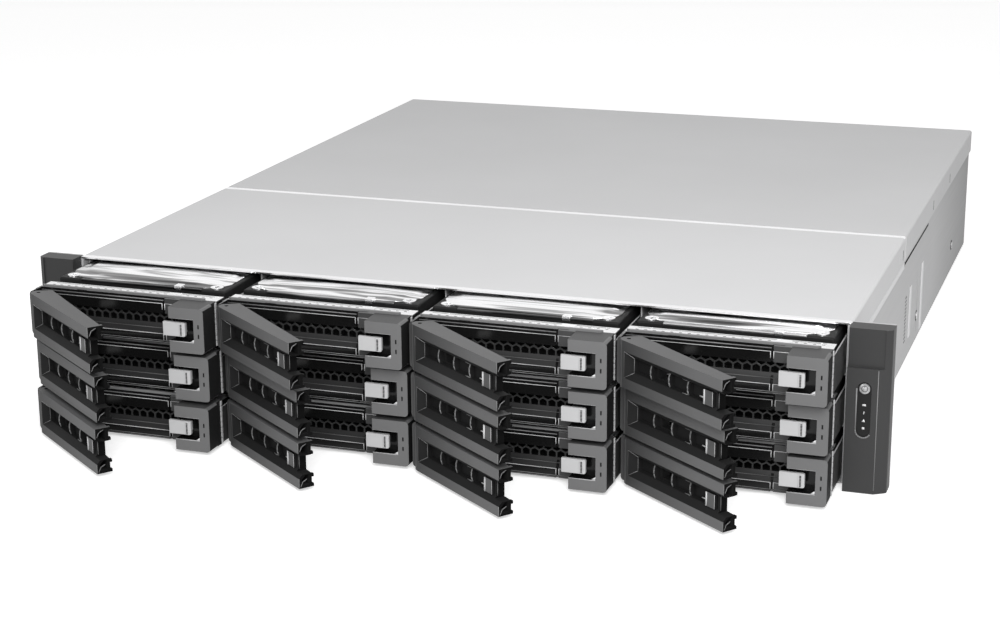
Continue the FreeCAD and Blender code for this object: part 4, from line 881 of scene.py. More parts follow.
def add_bar(shape, start, end, thick, index=0):
    """A thin square bar between two places."""
    start, end = Vector(start), Vector(end)
    turn = (end - start).to_track_quat("Z", "Y").to_matrix().to_4x4()
    size = Matrix.Diagonal((thick, thick, (end - start).length, 1))
    place = Matrix.Translation((start + end) / 2)
    made = bmesh.ops.create_cube(shape, size=1, matrix=place @ turn @ size)
    for face in {face for vert in made["verts"] for face in vert.link_faces}:
        face.material_index = index
    return shape


def add_level_bar(shape, x0, x1, y, z, thick, index=0):
    return add_bar(shape, (x0, y, z), (x1, y, z), thick, index)


beads_and_highlights = bmesh.new()
highlight_y, step_y, step_z = RAIL_Y - RAIL_HIGHLIGHT_OUT, RAIL_Y + STEP_D, STEP_Z + STEP_HIGHLIGHT_UP
for z in (RAMP_LOW, STEP_Z):
    add_level_bar(beads_and_highlights, WINDOW_X, SLIT_X, highlight_y, z, thick=0.26)
    add_level_bar(beads_and_highlights, SLIT_RIGHT, BLOCK_X, highlight_y, z, thick=0.24)
    for x in (SLIT_X - SLIT_EDGE, SLIT_RIGHT + SLIT_EDGE):
        add_bar(beads_and_highlights, (x, highlight_y, z - SLIT_DOWN), (x, highlight_y, z + SLIT_EDGE), thick=0.34)
for z in FOOT_HIGHLIGHTS_Z:
    add_level_bar(beads_and_highlights, WINDOW_X, BLOCK_X, highlight_y, z, thick=0.24, index=1)
add_level_bar(beads_and_highlights, CHEEK_T, SLIT_X, step_y, step_z, thick=0.5, index=1)
add_level_bar(beads_and_highlights, WINDOW_X, BLOCK_X, RAIL_Y + RAMP_HIGHLIGHT_Y, RAMP_HIGHLIGHT_Z, thick=0.4, index=3)
# Bars in the latch's grey along the recess's edges: painted highlight.
recess_right = TRAY_W - RECESS_RIM
for side, thick in ((-1, 0.3), (1, 0.22)):
    edge_z = MID_Z + side * RECESS_H / 2
    add_level_bar(beads_and_highlights, BLOCK_X, recess_right, RECESS_HIGHLIGHT_Y, edge_z, thick, index=2)
bead_and_highlight_mesh = to_mesh(beads_and_highlights, "rail beads", [edge_highlight, soft_edge_highlight, latch_grey, dim_edge_highlight])
print("rail beads with", len(bead_and_highlight_mesh.polygons), "faces")

# %% [markdown]
# ## Lip, gusset and tab
# A lip with cut ends runs along the front's upper edge, with two clip slots in front of it; the
# slots' black is painted shade, and the lip's grey is partly its own and partly painted light from
# above. A pale gusset fills a corner of the latch's recess, its pale finish painted highlight, and
# a white tab stands behind the lip's right end. Lip and gusset are prisms, so an outline and two
# places along the third axis describe them.

# %% Lip, gusset and tab
LIP_X0, LIP_X1, LIP_Y0, LIP_Y1, LIP_H, LIP_CUT = 2.0, 100.6, 15.3, 16.8, 1.2, 1.8
CLIP_X, CLIP_HALF = (27.0, 80.0), 3.0
GUSSET_W, GUSSET_H, GUSSET_Y = 2.6, 1.7, (0.5, 1.6)
TAB_AT, TAB_SIZE = (82.0, 18.4, BEZEL_H + 1.4), (7.6, 2.0, 0.7)
# Pale grey for printed marks; on the gusset it is painted highlight.
pale_print_and_highlight = finish("pale mark", grey(0.62), 0.5, grain=2400, bump=0.05, shade=0.04)
edge_white = finish("white tab", grey(0.80), 0.4, grain=900, bump=0.08, shade=0.1)


def add_prism(shape, near, far):
    """A closed solid between two matching outlines."""
    near, far = [[shape.verts.new(corner) for corner in outline] for outline in (near, far)]
    sides = [[near[k - 1], near[k], far[k], far[k - 1]] for k in range(len(near))]
    made = [shape.faces.new(corners) for corners in (near[::-1], far, *sides)]
    bmesh.ops.recalc_face_normals(shape, faces=made)


lip = bmesh.new()
plan = ((LIP_X0 + LIP_CUT, LIP_Y0), (LIP_X1 - LIP_CUT, LIP_Y0), (LIP_X1, LIP_Y1), (LIP_X0, LIP_Y1))
add_prism(lip, *[[(x, y, z) for x, y in plan] for z in (BEZEL_H - 0.1, BEZEL_H + LIP_H)])
for x in CLIP_X:
    add_box(lip, x - CLIP_HALF, x + CLIP_HALF, LIP_Y0 - 0.12, LIP_Y0 + 0.5, BEZEL_H - 0.5, BEZEL_H + 0.2,
            index=1)
lip_mesh = softened(lip, "upper lip", [lit_ledge_grey, painted_shade_black], radius=0.12)

gusset = bmesh.new()
recess_low = MID_Z - RECESS_H / 2
triangle = ((recess_right - GUSSET_W, recess_low), (recess_right, recess_low),
            (recess_right, recess_low + GUSSET_H))
add_prism(gusset, *[[(x, y, z) for x, z in triangle] for y in GUSSET_Y])
gusset_mesh = to_mesh(gusset, "recess gusset", [pale_print_and_highlight])
tab_mesh = block("bright tab", TAB_AT, TAB_SIZE, edge_white)
front_mesh = joined("tray front", bezel_mesh, bead_and_highlight_mesh, lip_mesh, gusset_mesh, tab_mesh)
place_in_bays("tray_front", front_mesh, "tray", "tray_metal")
pin_mesh = softened(pin_shape, "hinge pin", [bare_steel_and_edge_highlight], radius=0.2)
place_in_bays("hinge_pin", pin_mesh, "tray", "tray_metal")
print("tray fronts with their hinge pins in", len(BAYS), "bays")

# %% [markdown]
# ## Honeycomb grilles
# Behind the rails a thin perforated plate lets air through to the drive. A boolean on a grid of
# six-sided prisms is one rule with a pitch, so a node tree makes it, once, for all the bays.

# %% Honeycomb tree


def honeycomb_tree():
    """A plate with staggered six-sided cells, in the XZ plane, from its lower left corner."""
    t = Tree("honeycomb plate", Columns="Int", Rows="Int", Cell="Float", Web="Float", Width="Float",
             Height="Float", Thickness="Float", Low="Float", Finish="Material")
    pitch = t.calc(t.given("Cell"), t.given("Web"))
    total = t.calc(t.given("Columns"), t.given("Rows"), "MULTIPLY")
    index = t.add("GeometryNodeInputIndex")
    row = t.add("ShaderNodeMath", settings={"operation": "FLOOR"},
                n0=t.calc(index, t.given("Columns"), "DIVIDE"))
    column = t.calc(index, t.given("Columns"), "MODULO")
    stagger = t.calc(t.calc(row, 2.0, "MODULO"), 0.5, "MULTIPLY")
    x = t.calc(t.calc(t.calc(column, stagger), 0.75), pitch, "MULTIPLY")
    z = t.calc(t.calc(t.calc(row, math.sqrt(0.75), "MULTIPLY"), pitch, "MULTIPLY"), t.given("Low"))
    place = t.vector(x, t.calc(t.given("Thickness"), 0.5, "MULTIPLY"), z)
    points = t.add("GeometryNodePoints", Count=total, Position=place)
    cell = t.add("GeometryNodeMeshCylinder", Vertices=6,
                 Radius=t.calc(t.given("Cell"), math.sqrt(3), "DIVIDE"),
                 Depth=t.calc(t.given("Thickness"), 3.0, "MULTIPLY"))
    turned = t.add("GeometryNodeTransform", Geometry=cell, Rotation=(math.pi / 2, math.radians(30), 0))
    cells = t.add("GeometryNodeInstanceOnPoints", Points=points, Instance=turned)
    size = t.vector(t.given("Width"), t.given("Thickness"), t.given("Height"))
    plate = t.add("GeometryNodeMeshCube", Size=size)
    half = t.add("ShaderNodeVectorMath", settings={"operation": "SCALE"}, n0=size, Scale=0.5)
    plate = t.add("GeometryNodeTransform", Geometry=plate, Translation=half)
    return t.close(t.less(plate, t.add("GeometryNodeRealizeInstances", Geometry=cells)))


HONEYCOMB = honeycomb_tree()
print("tree:", HONEYCOMB.name)

# %% Honeycomb grilles
GRILLE_X, GRILLE_Y, GRILLE_Z = 8.9, 15.5, 10.6
GRILLE_W, GRILLE_H, GRILLE_T = 77.9, 5.7, 1.0
CELL_COLUMNS, CELL_ROWS, CELL, CELL_WEB, CELL_LOW = 16, 2, 4.0, 0.7, 1.3
grille_grey = finish("grille moulding", grey(0.03), 0.4, grain=1800, bump=0.06, shade=0.1, gloss=0.4)


def moved(mesh, x, y, z):
    """Moves a mesh by millimetres."""
    mesh.transform(Matrix.Translation(Vector((x, y, z)) * MM))
    return mesh


grille_mesh = grown(HONEYCOMB, "grille", Columns=CELL_COLUMNS, Rows=CELL_ROWS, Cell=CELL * MM,
                    Web=CELL_WEB * MM, Width=GRILLE_W * MM, Height=GRILLE_H * MM,
                    Thickness=GRILLE_T * MM, Low=CELL_LOW * MM, Finish=grille_grey)
place_in_bays("grille", moved(grille_mesh, GRILLE_X, GRILLE_Y, GRILLE_Z), "tray", "tray_metal")
print("grilles with", CELL_COLUMNS * CELL_ROWS, "cells each")

# %% [markdown]
# ## Sleds with their contact strips
# The sled is folded from bright sheet. Its upper front edge carries the strip that touches the
# cage, which shines and has a row of short slots. Small screening springs stand at the tray's
# right edge: a row of blocks that a bevel rounds to a bulge.

# %% Sleds
STRIP_TOP, STRIP_DEEP = 24.5, 1.0
DASHES, DASH_AT, DASH_STEP, DASH_SIZE = 22, (6.0, 22.0, STRIP_TOP), (4.5, 0.06, 0), (1.5, 0.6, 0.06)
FOLD_AT, FOLD_SIZE = (53.6, 25.4, STRIP_TOP), (96.0, 0.5, 0.06)
SPRINGS, SPRING_AT, SPRING_STEP, SPRING_SIZE = 8, (106.7, 15.9, 1.9), (0, 0, 3.0), (0.95, 1.8, 2.96)
zinc_sheet = finish("zinc sheet", grey(0.50), 0.45, metal=0.15, grain=900, bump=0.06, shade=0.05,
                    drawn="y", gloss=0.2)
bright_strip = finish("bright contact strip", grey(0.86), 0.2, metal=1.0, grain=420, bump=0.25, drawn="x")
spring_bright = finish("spring contact", grey(0.44), 0.3, metal=0.3, grain=900, bump=0.08, shade=0.1)


def sled_face(centre, normal):
    """0 zinc, 1 bright strip, 2 outer sides, painted dark as painted shade between the trays."""
    if centre.z > STRIP_TOP - STRIP_DEEP:
        return 1
    return 2 if abs(normal.x) > FACING else 0


sled_finishes = [zinc_sheet, bright_strip, satin_shade_grey]
sled_mesh = softened(paint_faces(sled_shape, sled_face), "sled", sled_finishes, radius=0.15)
# The strip's slots are thin black blocks: painted shade in the holes.
dashes = block_row("strip slots", DASHES, DASH_AT, DASH_STEP, DASH_SIZE, painted_shade_black)
fold = block("strip fold", FOLD_AT, FOLD_SIZE, gloss_black)
springs = block_row("spring contacts", SPRINGS, SPRING_AT, SPRING_STEP, SPRING_SIZE, spring_bright)
bulge = {"width": 0.45 * MM, "segments": 3, "limit_method": "NONE"}
springs = evaluated(springs, "spring contacts", ("BEVEL", bulge))
place_in_bays("sled", joined("sled", sled_mesh, dashes, fold, springs), "tray", "tray_metal")
print("sleds with", SPRINGS, "springs each")

# %% [markdown]
# ## Bright lids
# A pressed lid is a mirror with slow waves, so it shows the room as long light and dark bands.
# Real waves would need a very fine mesh. Here a stretched noise runs through a colour ramp and
# paints the bands into the metal's colour as painted reflection.

# %% Painted reflection finish
BAND_SCALE = (9.0, 110.0, 60.0)
LID_REFLECTION_TONES = ((0.30, 0.03), (0.42, 0.22), (0.47, 0.90), (0.55, 0.95), (0.60, 0.35), (0.68, 0.92))
SKIRT_REFLECTION_TONES = ((0.35, 0.02), (0.50, 0.10), (0.62, 0.45))


def reflection_streaked(name, tones, rough):
    """Mirror-bright sheet with painted reflection: its colour runs in long light and dark bands."""
    material = finish(name, grey(0.8), rough, metal=1.0, grain=700, bump=0.08, drawn="x")
    tree = material.node_tree
    place = tree.nodes.new("ShaderNodeTexCoord")
    stretch = add_node(tree, "ShaderNodeMapping", Scale=BAND_SCALE)
    link(tree, place.outputs["Object"], stretch.inputs["Vector"])
    bands = add_node(tree, "ShaderNodeTexNoise", Scale=1.0, Detail=2.5, Distortion=0.6)
    link(tree, stretch.outputs["Vector"], bands.inputs["Vector"])
    stops = [(position, grey(tone)) for position, tone in tones]
    return recolour(material, colour_ramp(tree, bands.outputs["Fac"], stops))


# The lid and its skirt both carry these bands of painted reflection.
lid_metal = reflection_streaked("drive lid", LID_REFLECTION_TONES, 0.2)
skirt_metal = reflection_streaked("lid skirt", SKIRT_REFLECTION_TONES, 0.3)
print("streaked finishes:", lid_metal.name, "and", skirt_metal.name)

# %% [markdown]
# ## Drives
# A drive is a cast body under a pressed lid whose corners are cut away round its screws. The lid
# is a stack of outlines, from its edge over a slope to a raised plateau, which a bevel then rounds
# as a press would. A skirt and a small tab turn down over the casting's front.

# %% Drives
DRIVE_X0, DRIVE_X1, DRIVE_Y0, DRIVE_Y1, DRIVE_LOW = 2.8, 104.4, 32.0, 179.0, 1.1
CASTING_TOP, LID_EDGE, LID_TOP = 25.8, 26.35, 27.2
LID_INSET, LID_CUT, NOTCH_IN, NOTCH_BACK = 2.4, 14.0, 0.35, 0.3
cast_metal = finish("cast drive body", grey(0.012), 0.5, grain=1500, bump=0.3, shade=0.15, patch=60,
                    gloss=0.12)


def lid_outline(inset, cut):
    x0, x1 = DRIVE_X0 + inset, DRIVE_X1 - inset
    y0, y1 = DRIVE_Y0 + inset, DRIVE_Y1 - inset
    notch_y = y0 + cut * NOTCH_BACK
    return [(x0 + cut, y0), (x1 - cut, y0), (x1 - cut * NOTCH_IN, notch_y), (x1, y0 + cut),
            (x1, y1 - cut), (x1 - cut, y1), (x0 + cut, y1), (x0, y1 - cut), (x0, y0 + cut),
            (x0 + cut * NOTCH_IN, notch_y)]


casting = bmesh.new()
add_box(casting, DRIVE_X0, DRIVE_X1, DRIVE_Y0, DRIVE_Y1, DRIVE_LOW, CASTING_TOP)
casting_mesh = softened(casting, "casting", [cast_metal], radius=1.2, segments=3)

# Inset from the drive's sides, corner cut and height of each outline, from the edge to the plateau.
lid = bmesh.new()
levels = [(LID_INSET, LID_CUT - LID_INSET, CASTING_TOP - 0.2), (LID_INSET, LID_CUT - LID_INSET, LID_EDGE),
          (LID_INSET + 3.5, LID_CUT, LID_EDGE + 0.1), (LID_INSET + 6.0, LID_CUT, LID_TOP - 0.25),
          (26.0, 20.0, LID_TOP - 0.05)]
rings = [[lid.verts.new((x, y, z)) for x, y in lid_outline(inset, cut)] for inset, cut, z in levels]
for lower, upper in zip(rings, rings[1:]):
    for k in range(len(lower)):
        n = (k + 1) % len(lower)
        lid.faces.new([lower[k], lower[n], upper[n], upper[k]])
lid.faces.new(rings[-1])
lid.faces.new(rings[0][::-1])
bmesh.ops.recalc_face_normals(lid, faces=lid.faces)
lid_mesh = softened(lid, "lid", [lid_metal], radius=0.35, segments=3, angle=8)
print("casting and lid,", len(levels), "levels")

# %% Lid screws, tab and skirt
SCREW_IN, SCREW_BACK, LID_SCREW_R, LID_SCREW_H = 7, 5, 3.6, 0.8
SIDE_SCREW_IN, SIDE_SCREW_Y, SIDE_SCREW_Z = 5.5, 105, 26.4
TAB_X0, TAB_X1, TAB_TOP = 74.0, 78.5, 26.9


def screw_pair(inset, y, z):
    return [(DRIVE_X0 + inset, y, z), (DRIVE_X1 - inset, y, z)]


lid_places = screw_pair(SCREW_IN, DRIVE_Y0 + SCREW_BACK, CASTING_TOP)
lid_places += screw_pair(SIDE_SCREW_IN, SIDE_SCREW_Y, SIDE_SCREW_Z)
lid_places += screw_pair(SCREW_IN, DRIVE_Y1 - SCREW_BACK, CASTING_TOP)
lid_screws = screw_heads("lid screws", lid_places, LID_SCREW_R, LID_SCREW_H, TO_TOP, bare_steel_and_edge_highlight)
tab = bmesh.new()
add_box(tab, TAB_X0, TAB_X1, DRIVE_Y0 - 0.2, DRIVE_Y0 + 4.6, CASTING_TOP - 1.6, TAB_TOP)
skirt = bmesh.new()
add_box(skirt, DRIVE_X0 + LID_CUT, DRIVE_X1 - LID_CUT, DRIVE_Y0 - 0.1, DRIVE_Y0 + 3.0,
        CASTING_TOP - 1.2, CASTING_TOP + 0.1)
skirt_mesh = softened(skirt, "lid skirt", [skirt_metal], radius=0.3)
tab_mesh = softened(tab, "lid tab", [bare_steel_and_edge_highlight], radius=0.3)
drive_mesh = joined("drive", casting_mesh, lid_mesh, lid_screws, tab_mesh, skirt_mesh)
place_in_bays("drive", drive_mesh, "tray", "tray_metal")
print("drives with", len(lid_places), "lid screws each")

# %% [markdown]
# ## Levers
# The lever swings out of the front on a pin at its left. Its front is a flared finger pocket with
# three bowed ribs and a catch near the tip. The lever's shape comes from the frame; turning it
# back to closed for a moment makes it easy to say which faces lie inside the pocket. The pocket's
# inside and the hollow tip are painted near black as painted shade, and the front is graded darker
# toward the hinge, painted shade where the open lever gets less light.

# %% Levers
PIVOT = Vector((6.7, 4.2, 0.0))
LEVER_OPEN = math.radians(38.0)
LEVER_LOW, LEVER_HIGH, LEVER_END, LEVER_WALL = 0.1, 24.7, 84.98, 1.0
MOUTH_LOW, MOUTH_HIGH, MOUTH_X, MOUTH_EDGE = 5.4, 19.1, 8.4, 0.3
CATCH, CATCH_Y = (69.18, 75.98), (1.9, 2.1)
lever_grey = finish("lever moulding", grey(0.100), 0.5, grain=2400, bump=0.12, shade=0.06, gloss=0.2)
rib_grey = finish("catch moulding", grey(0.075), 0.4, grain=2000, bump=0.08, shade=0.1, gloss=0.3)
# The front runs from dark at the hinge to light at the tip: painted shade.
shaded_lever_front = finish("lever front", grey(0.115), 0.5, grain=2400, bump=0.12, gloss=0.2)
graded(shaded_lever_front, "reach", 0.050, 0.115)
# Near black for the hollow tip: painted shade.
hollow_shade_black = finish("hollow black", grey(0.006), 0.8, grain=2200, bump=0.1, shade=0.15, gloss=0.02)


def swing(angle, pivot):
    return Matrix.Translation(pivot) @ Matrix.Rotation(angle, 4, "Z") @ Matrix.Translation(-pivot)


def in_mouth(z):
    return MOUTH_LOW - MOUTH_EDGE < z < MOUTH_HIGH + MOUTH_EDGE


def lever_face(centre, normal):
    """0 lever grey, 1 pocket black as painted shade, 2 catch, 3 the front, graded darker toward the
    hinge as painted shade, 4 the hollow tip as painted shade.
    """
    x, y, z = centre
    if normal.y < -FACING and y < 0.05:
        return 3
    if CATCH[0] - NEAR < x < CATCH[1] + NEAR and CATCH_Y[0] < y < CATCH_Y[1] and in_mouth(z):
        return 2
    if normal.x > FACING and x > CATCH[1]:
        return 4
    inside = in_mouth(z) and y > 0.02 and x > MOUTH_X
    behind = y > 1.0 and LEVER_LOW + LEVER_WALL < z < LEVER_HIGH - LEVER_WALL
    return 1 if inside or behind else 0


lever_shape = clean_faces(in_tray_frame(node_shape("lever_01")))
bmesh.ops.transform(lever_shape, matrix=swing(LEVER_OPEN, PIVOT), verts=lever_shape.verts)
lever_shape.normal_update()
lever_finishes = [lever_grey, painted_shade_black, rib_grey, shaded_lever_front, hollow_shade_black]
lever_mesh = softened(paint_faces(lever_shape, lever_face), "lever", lever_finishes)
print("lever with", len(lever_mesh.polygons), "faces")

# %% [markdown]
# ## Lever edge highlights
# The lever's edges catch the light like the rails' do: the flare of the pocket, its bowed ribs,
# the catch, the end walls and the hooks at the tip. Bars in lighter greys again lie on these edges
# as painted highlights, laid on the closed lever and swung out with it.

# %% Lever edge highlights
DUCT_LOW, DUCT_HIGH, DUCT_X, FLARE_D = 8.5, 16.0, 12.8, 3.2
RIB_X, RIB_BOW, RIB_SPANS, RIB_HALF = (25.7, 40.3, 54.9), 0.9, 3, 0.4
CATCH_LOW, CATCH_HIGH, CATCH_FRONT, SPRING_UP = 8.55, 15.95, 2.1, 2.4
END_WALL, NOTCH_X, TIP_IN = 77.18, 78.58, 0.1
HOOK = ((0.9, 0.9), (2.2, 3.4), (4.6, 4.6))


def add_upright_bar(shape, x, y, z0, z1, thick, index=0):
    return add_bar(shape, (x, y, z0), (x, y, z1), thick, index)


def add_chain(shape, places, thick, index=0):
    """Bars from each place to the next."""
    for start, end in zip(places, places[1:]):
        add_bar(shape, start, end, thick, index)


def pocket_highlights(shape):
    """Painted highlights on the flare's four edges and the bowed ribs."""
    flare = [(MOUTH_X, 0.1, MOUTH_LOW), (MOUTH_X, 0.1, MOUTH_HIGH),
             (DUCT_X, FLARE_D, DUCT_HIGH), (DUCT_X, FLARE_D, DUCT_LOW)]
    for k, index in enumerate((1, 2, 0, 1)):
        add_bar(shape, flare[k - 1], flare[k], thick=0.26, index=index)
    shares = [k / RIB_SPANS for k in range(RIB_SPANS + 1)]
    bow = [FLARE_D + RIB_BOW * (2 * share - 1) ** 2 for share in shares]
    rise = [DUCT_LOW + (DUCT_HIGH - DUCT_LOW) * share for share in shares]
    for x in RIB_X:
        add_chain(shape, [(x + RIB_HALF, y, z) for y, z in zip(bow, rise)], thick=0.7, index=1)
    for z in (DUCT_LOW + 0.2, DUCT_HIGH - 0.2):
        add_level_bar(shape, RIB_X[-1] - 4.0, RIB_X[-1], FLARE_D + 0.4, z, thick=0.36, index=1)


def tip_highlights(shape):
    """Painted highlights on the catch with its spring, the end walls, and the hooks at both tips."""
    left, right = CATCH
    add_upright_bar(shape, left + 0.5, CATCH_FRONT, CATCH_LOW + 0.1, CATCH_HIGH - 0.1, thick=0.9)
    add_upright_bar(shape, right - 0.2, CATCH_FRONT, CATCH_LOW, CATCH_HIGH, thick=0.36)
    add_level_bar(shape, left - 4.6, left - 0.6, FLARE_D + 0.3, CATCH_LOW + SPRING_UP, thick=0.5)
    for x in (END_WALL, NOTCH_X):
        add_upright_bar(shape, x, FLARE_D + 0.5, DUCT_LOW, DUCT_HIGH, thick=0.3, index=1)
    tip_x = LEVER_END - TIP_IN
    for near, far in ((LEVER_LOW, MOUTH_LOW), (LEVER_HIGH, MOUTH_HIGH)):
        add_upright_bar(shape, tip_x, TIP_IN, near, far, thick=0.24, index=1)
    for low in (LEVER_LOW, MOUTH_HIGH):
        add_chain(shape, [(tip_x, y, low + z) for y, z in HOOK], thick=0.32, index=1)


lines = bmesh.new()
pocket_highlights(lines)
tip_highlights(lines)
line_mesh = to_mesh(lines, "lever beads", [edge_highlight, soft_edge_highlight, dim_edge_highlight])
lever_mesh = joined("lever", lever_mesh, line_mesh)
set_shares(lever_mesh, "reach", lambda place: (place.x / MM - PIVOT.x) / (LEVER_END - PIVOT.x))
lever_mesh.transform(swing(-LEVER_OPEN, PIVOT * MM))
place_in_bays("lever", lever_mesh, "lever", "tray_plastic")
print("levers in", len(BAYS), "bays")

# %% [markdown]
# ## Latches
# A light grey pad slides in the block's recess and lets the lever go. A row of short dark notches
# near its right end gives a fingertip its grip; being a row, the row tree makes it.

# %% Latches
LATCH_X0, LATCH_L, GRIP_IN = 82.9, 12.9, 2.1
GRIP_COUNT, GRIP_STEP, GRIP_SIZE = 8, 0.76, (0.9, 0.2, 0.5)
latch_shape = clean_faces(in_tray_frame(node_shape("latch_01")))
latch_mesh = softened(latch_shape, "latch", [latch_grey], radius=0.3)
# The grip's notches are black blocks: painted shade in the grooves.
grip_at = (LATCH_X0 + LATCH_L - GRIP_IN, 0.3, MID_Z - (GRIP_COUNT - 1) / 2 * GRIP_STEP)
grip = block_row("latch grip", GRIP_COUNT, grip_at, (0, 0, GRIP_STEP), GRIP_SIZE, painted_shade_black)
place_in_bays("latch", joined("latch", latch_mesh, grip), "latch", "latch_plastic")
print("latches with", GRIP_COUNT, "notches each")

# %% [markdown]
# ## Ears
# The rack flanges wear hollow black caps with a chamfer along their outer edge. The right one has
# a round-ended window. Fine bars in a lighter grey lie on the chamfers' edges and the window's
# lower rim as painted highlights.

# %% Ears
EAR_FRONT, EAR_OUTER, EAR_BEVEL, EAR_STEP_Z = -270.0, 241.3, 6.0, 66.0
RIM_OUT, RIM_TURN = 0.5, range(180, 331, 15)
ear_black = finish("ear moulding", grey(0.034), 0.45, grain=2200, bump=0.1, shade=0.08, gloss=0.25)
lens_black = finish("gloss window", grey(0.006), 0.3, grain=900, bump=0.01, shade=0.2, gloss=0.25)
button_metal = finish("cast button", grey(0.30), 0.35, metal=0.5, grain=900, bump=0.3, shade=0.75,
                      patch=420)
# Lighter grey for painted highlights on the ears' edges.
ear_edge_highlight = finish("ear edge highlight", grey(0.16), 0.35, grain=2000, bump=0.06, shade=0.1)

dressed_node("left_ear", "chassis", "ear_plastic", [ear_black], radius=0.5, segments=3)
dressed_node("right_ear", "chassis", "ear_plastic", [ear_black], radius=0.5, segments=3)
dressed_node("status_lens", "chassis", "lens_plastic", [lens_black], radius=0.1)
dressed_node("power_button", "power_button", "button_metal", [button_metal], radius=0.35, segments=3)
lens_low, lens_high = (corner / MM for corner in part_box("status_lens"))
lens_x, lens_r = (lens_low.x + lens_high.x) / 2, (lens_high.x - lens_low.x) / 2
ear_highlights = bmesh.new()
for side in (-1, 1):
    edge_x = side * (EAR_OUTER - EAR_BEVEL)
    add_upright_bar(ear_highlights, edge_x, EAR_FRONT + 0.02, 2.0, EAR_STEP_Z - 0.5, thick=0.4)
rim_r, rim_y, rim_low = lens_r + RIM_OUT, EAR_FRONT + 0.05, lens_low.z + lens_r
rim = [(lens_x - rim_r, rim_y, lens_high.z - lens_r)]
for turn in map(math.radians, RIM_TURN):
    rim.append((lens_x + rim_r * math.cos(turn), rim_y, rim_low + rim_r * math.sin(turn)))
add_chain(ear_highlights, rim, thick=0.7)
add_piece("ear_highlights", to_mesh(ear_highlights, "ear beads", [ear_edge_highlight]), "chassis", "ear_plastic")
print("ears with a window", round(lens_r * 2, 1), "mm wide")

# %% [markdown]
# ## Status marks
# Four small plain marks lie on the window. Each is a thin prism with an outline of its own.

# %% Status marks
MARK_STEP, MARK_LOW, MARK_Y = 4.1, 4.4, (-0.05, 0.05)
SQUARE = ((-0.6, -0.6), (0.6, -0.6), (0.6, 0.6), (-0.6, 0.6))
WEDGE = ((-0.9, -0.7), (0.9, -0.7), (0.1, 0.8))
SLIM_BAR = ((-0.3, -0.8), (0.1, -0.8), (0.4, 0.8), (0.0, 0.8))
WIDE_BAR = ((-0.9, -0.5), (0.9, -0.5), (0.9, 0.5), (-0.9, 0.5))
marks = bmesh.new()
for k, outline in enumerate((SQUARE, WEDGE, SLIM_BAR, WIDE_BAR)):
    mark_z = lens_low.z + MARK_LOW + k * MARK_STEP
    add_prism(marks, *[[(lens_x + x, lens_low.y + y, mark_z + z) for x, z in outline] for y in MARK_Y])
add_piece("status_marks", to_mesh(marks, "status marks", [pale_print_and_highlight]), "chassis", "lens_plastic")
print("four status marks")

# %% [markdown]
# ## Power button
# The button is a small cast disc with a dark ring and a bar on its face. Wire rings are needed
# again for the fan guards, so a tree sweeps a small circle round larger ones.

# %% Power button
RING_SIDES, WIRE_SIDES, BUTTON_BAR = 40, 8, (0.3, 0.1, 1.2)


def ring_tree():
    """Wire rings about the Y axis, each wider than the last by one step."""
    t = Tree("guard rings", Count="Int", First="Float", Step="Float", Wire="Float", Finish="Material")
    index = t.add("GeometryNodeInputIndex")
    points = t.add("GeometryNodePoints", Count=t.given("Count"))
    circle = t.add("GeometryNodeCurvePrimitiveCircle", Resolution=RING_SIDES, Radius=1.0)
    upright = t.add("GeometryNodeTransform", Geometry=circle, Rotation=(math.pi / 2, 0, 0))
    wide = t.calc(t.calc(index, t.given("Step"), "MULTIPLY"), t.given("First"))
    rings = t.add("GeometryNodeInstanceOnPoints", Points=points, Instance=upright, Scale=wide)
    path = t.add("GeometryNodeRealizeInstances", Geometry=rings)
    wire = t.add("GeometryNodeCurvePrimitiveCircle", Resolution=WIRE_SIDES, Radius=t.given("Wire"))
    return t.close(t.add("GeometryNodeCurveToMesh", Curve=path, Profile_Curve=wire))


def wire_rings(name, count, first, step, wire, material):
    """Rings of wire in millimetres."""
    return grown(RINGS, name, Count=count, First=first * MM, Step=step * MM, Wire=wire * MM,
                 Finish=material)


RINGS = ring_tree()
button_low, button_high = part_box("power_button")
button_x, button_z = (button_low.x + button_high.x) / 2 / MM, (button_low.z + button_high.z) / 2 / MM
button_y = button_low.y / MM
ring = wire_rings("button ring", 1, first=1.5, step=0.1, wire=0.16, material=lens_black)
moved(ring, button_x, button_y + 0.05, button_z)
bar = block("button bar", (button_x, button_y + 0.02, button_z + 1.2), BUTTON_BAR, lens_black)
add_piece("button_mark", joined("button mark", ring, bar), "power_button", "button_metal")
print(f"power button at {button_x:.1f}, {button_z:.1f} mm")

# %% [markdown]
# ## Rear panel and ports
# The rear is not in the picture, so it follows what such servers have: slotted vents, blank card
# covers, a few ports and two plug-in supplies. The ports' shells come from the frame, and their
# faces are painted by depth.

# %% Rear panel and ports
PORT_LOW, PORT_H, PORT_D, PORT_EDGE = 9.6, 13.0, 13.0, 1.0
port_shell = finish("plated shell", grey(0.75), 0.24, metal=1.0, grain=1200, bump=0.06, shade=0.05)
connector_black = finish("connector moulding", grey(0.025), 0.45, grain=2200, bump=0.1, shade=0.1)
insert_blue = finish("video insert", (0.02, 0.06, 0.28), 0.45, grain=2200, bump=0.08, shade=0.08)


def port_face(centre, normal):
    """0 plated shell, 1 dark inside, 2 the video socket's insert."""
    if centre.y > REAR_Y + PORT_EDGE and normal.y > FACING:
        return 2
    in_socket = REAR_Y - PORT_D < centre.y < REAR_Y - 0.05
    in_height = PORT_LOW + PORT_EDGE < centre.z < PORT_LOW + PORT_H
    return 1 if in_socket and (normal.y > 0.5 or in_height) else 0


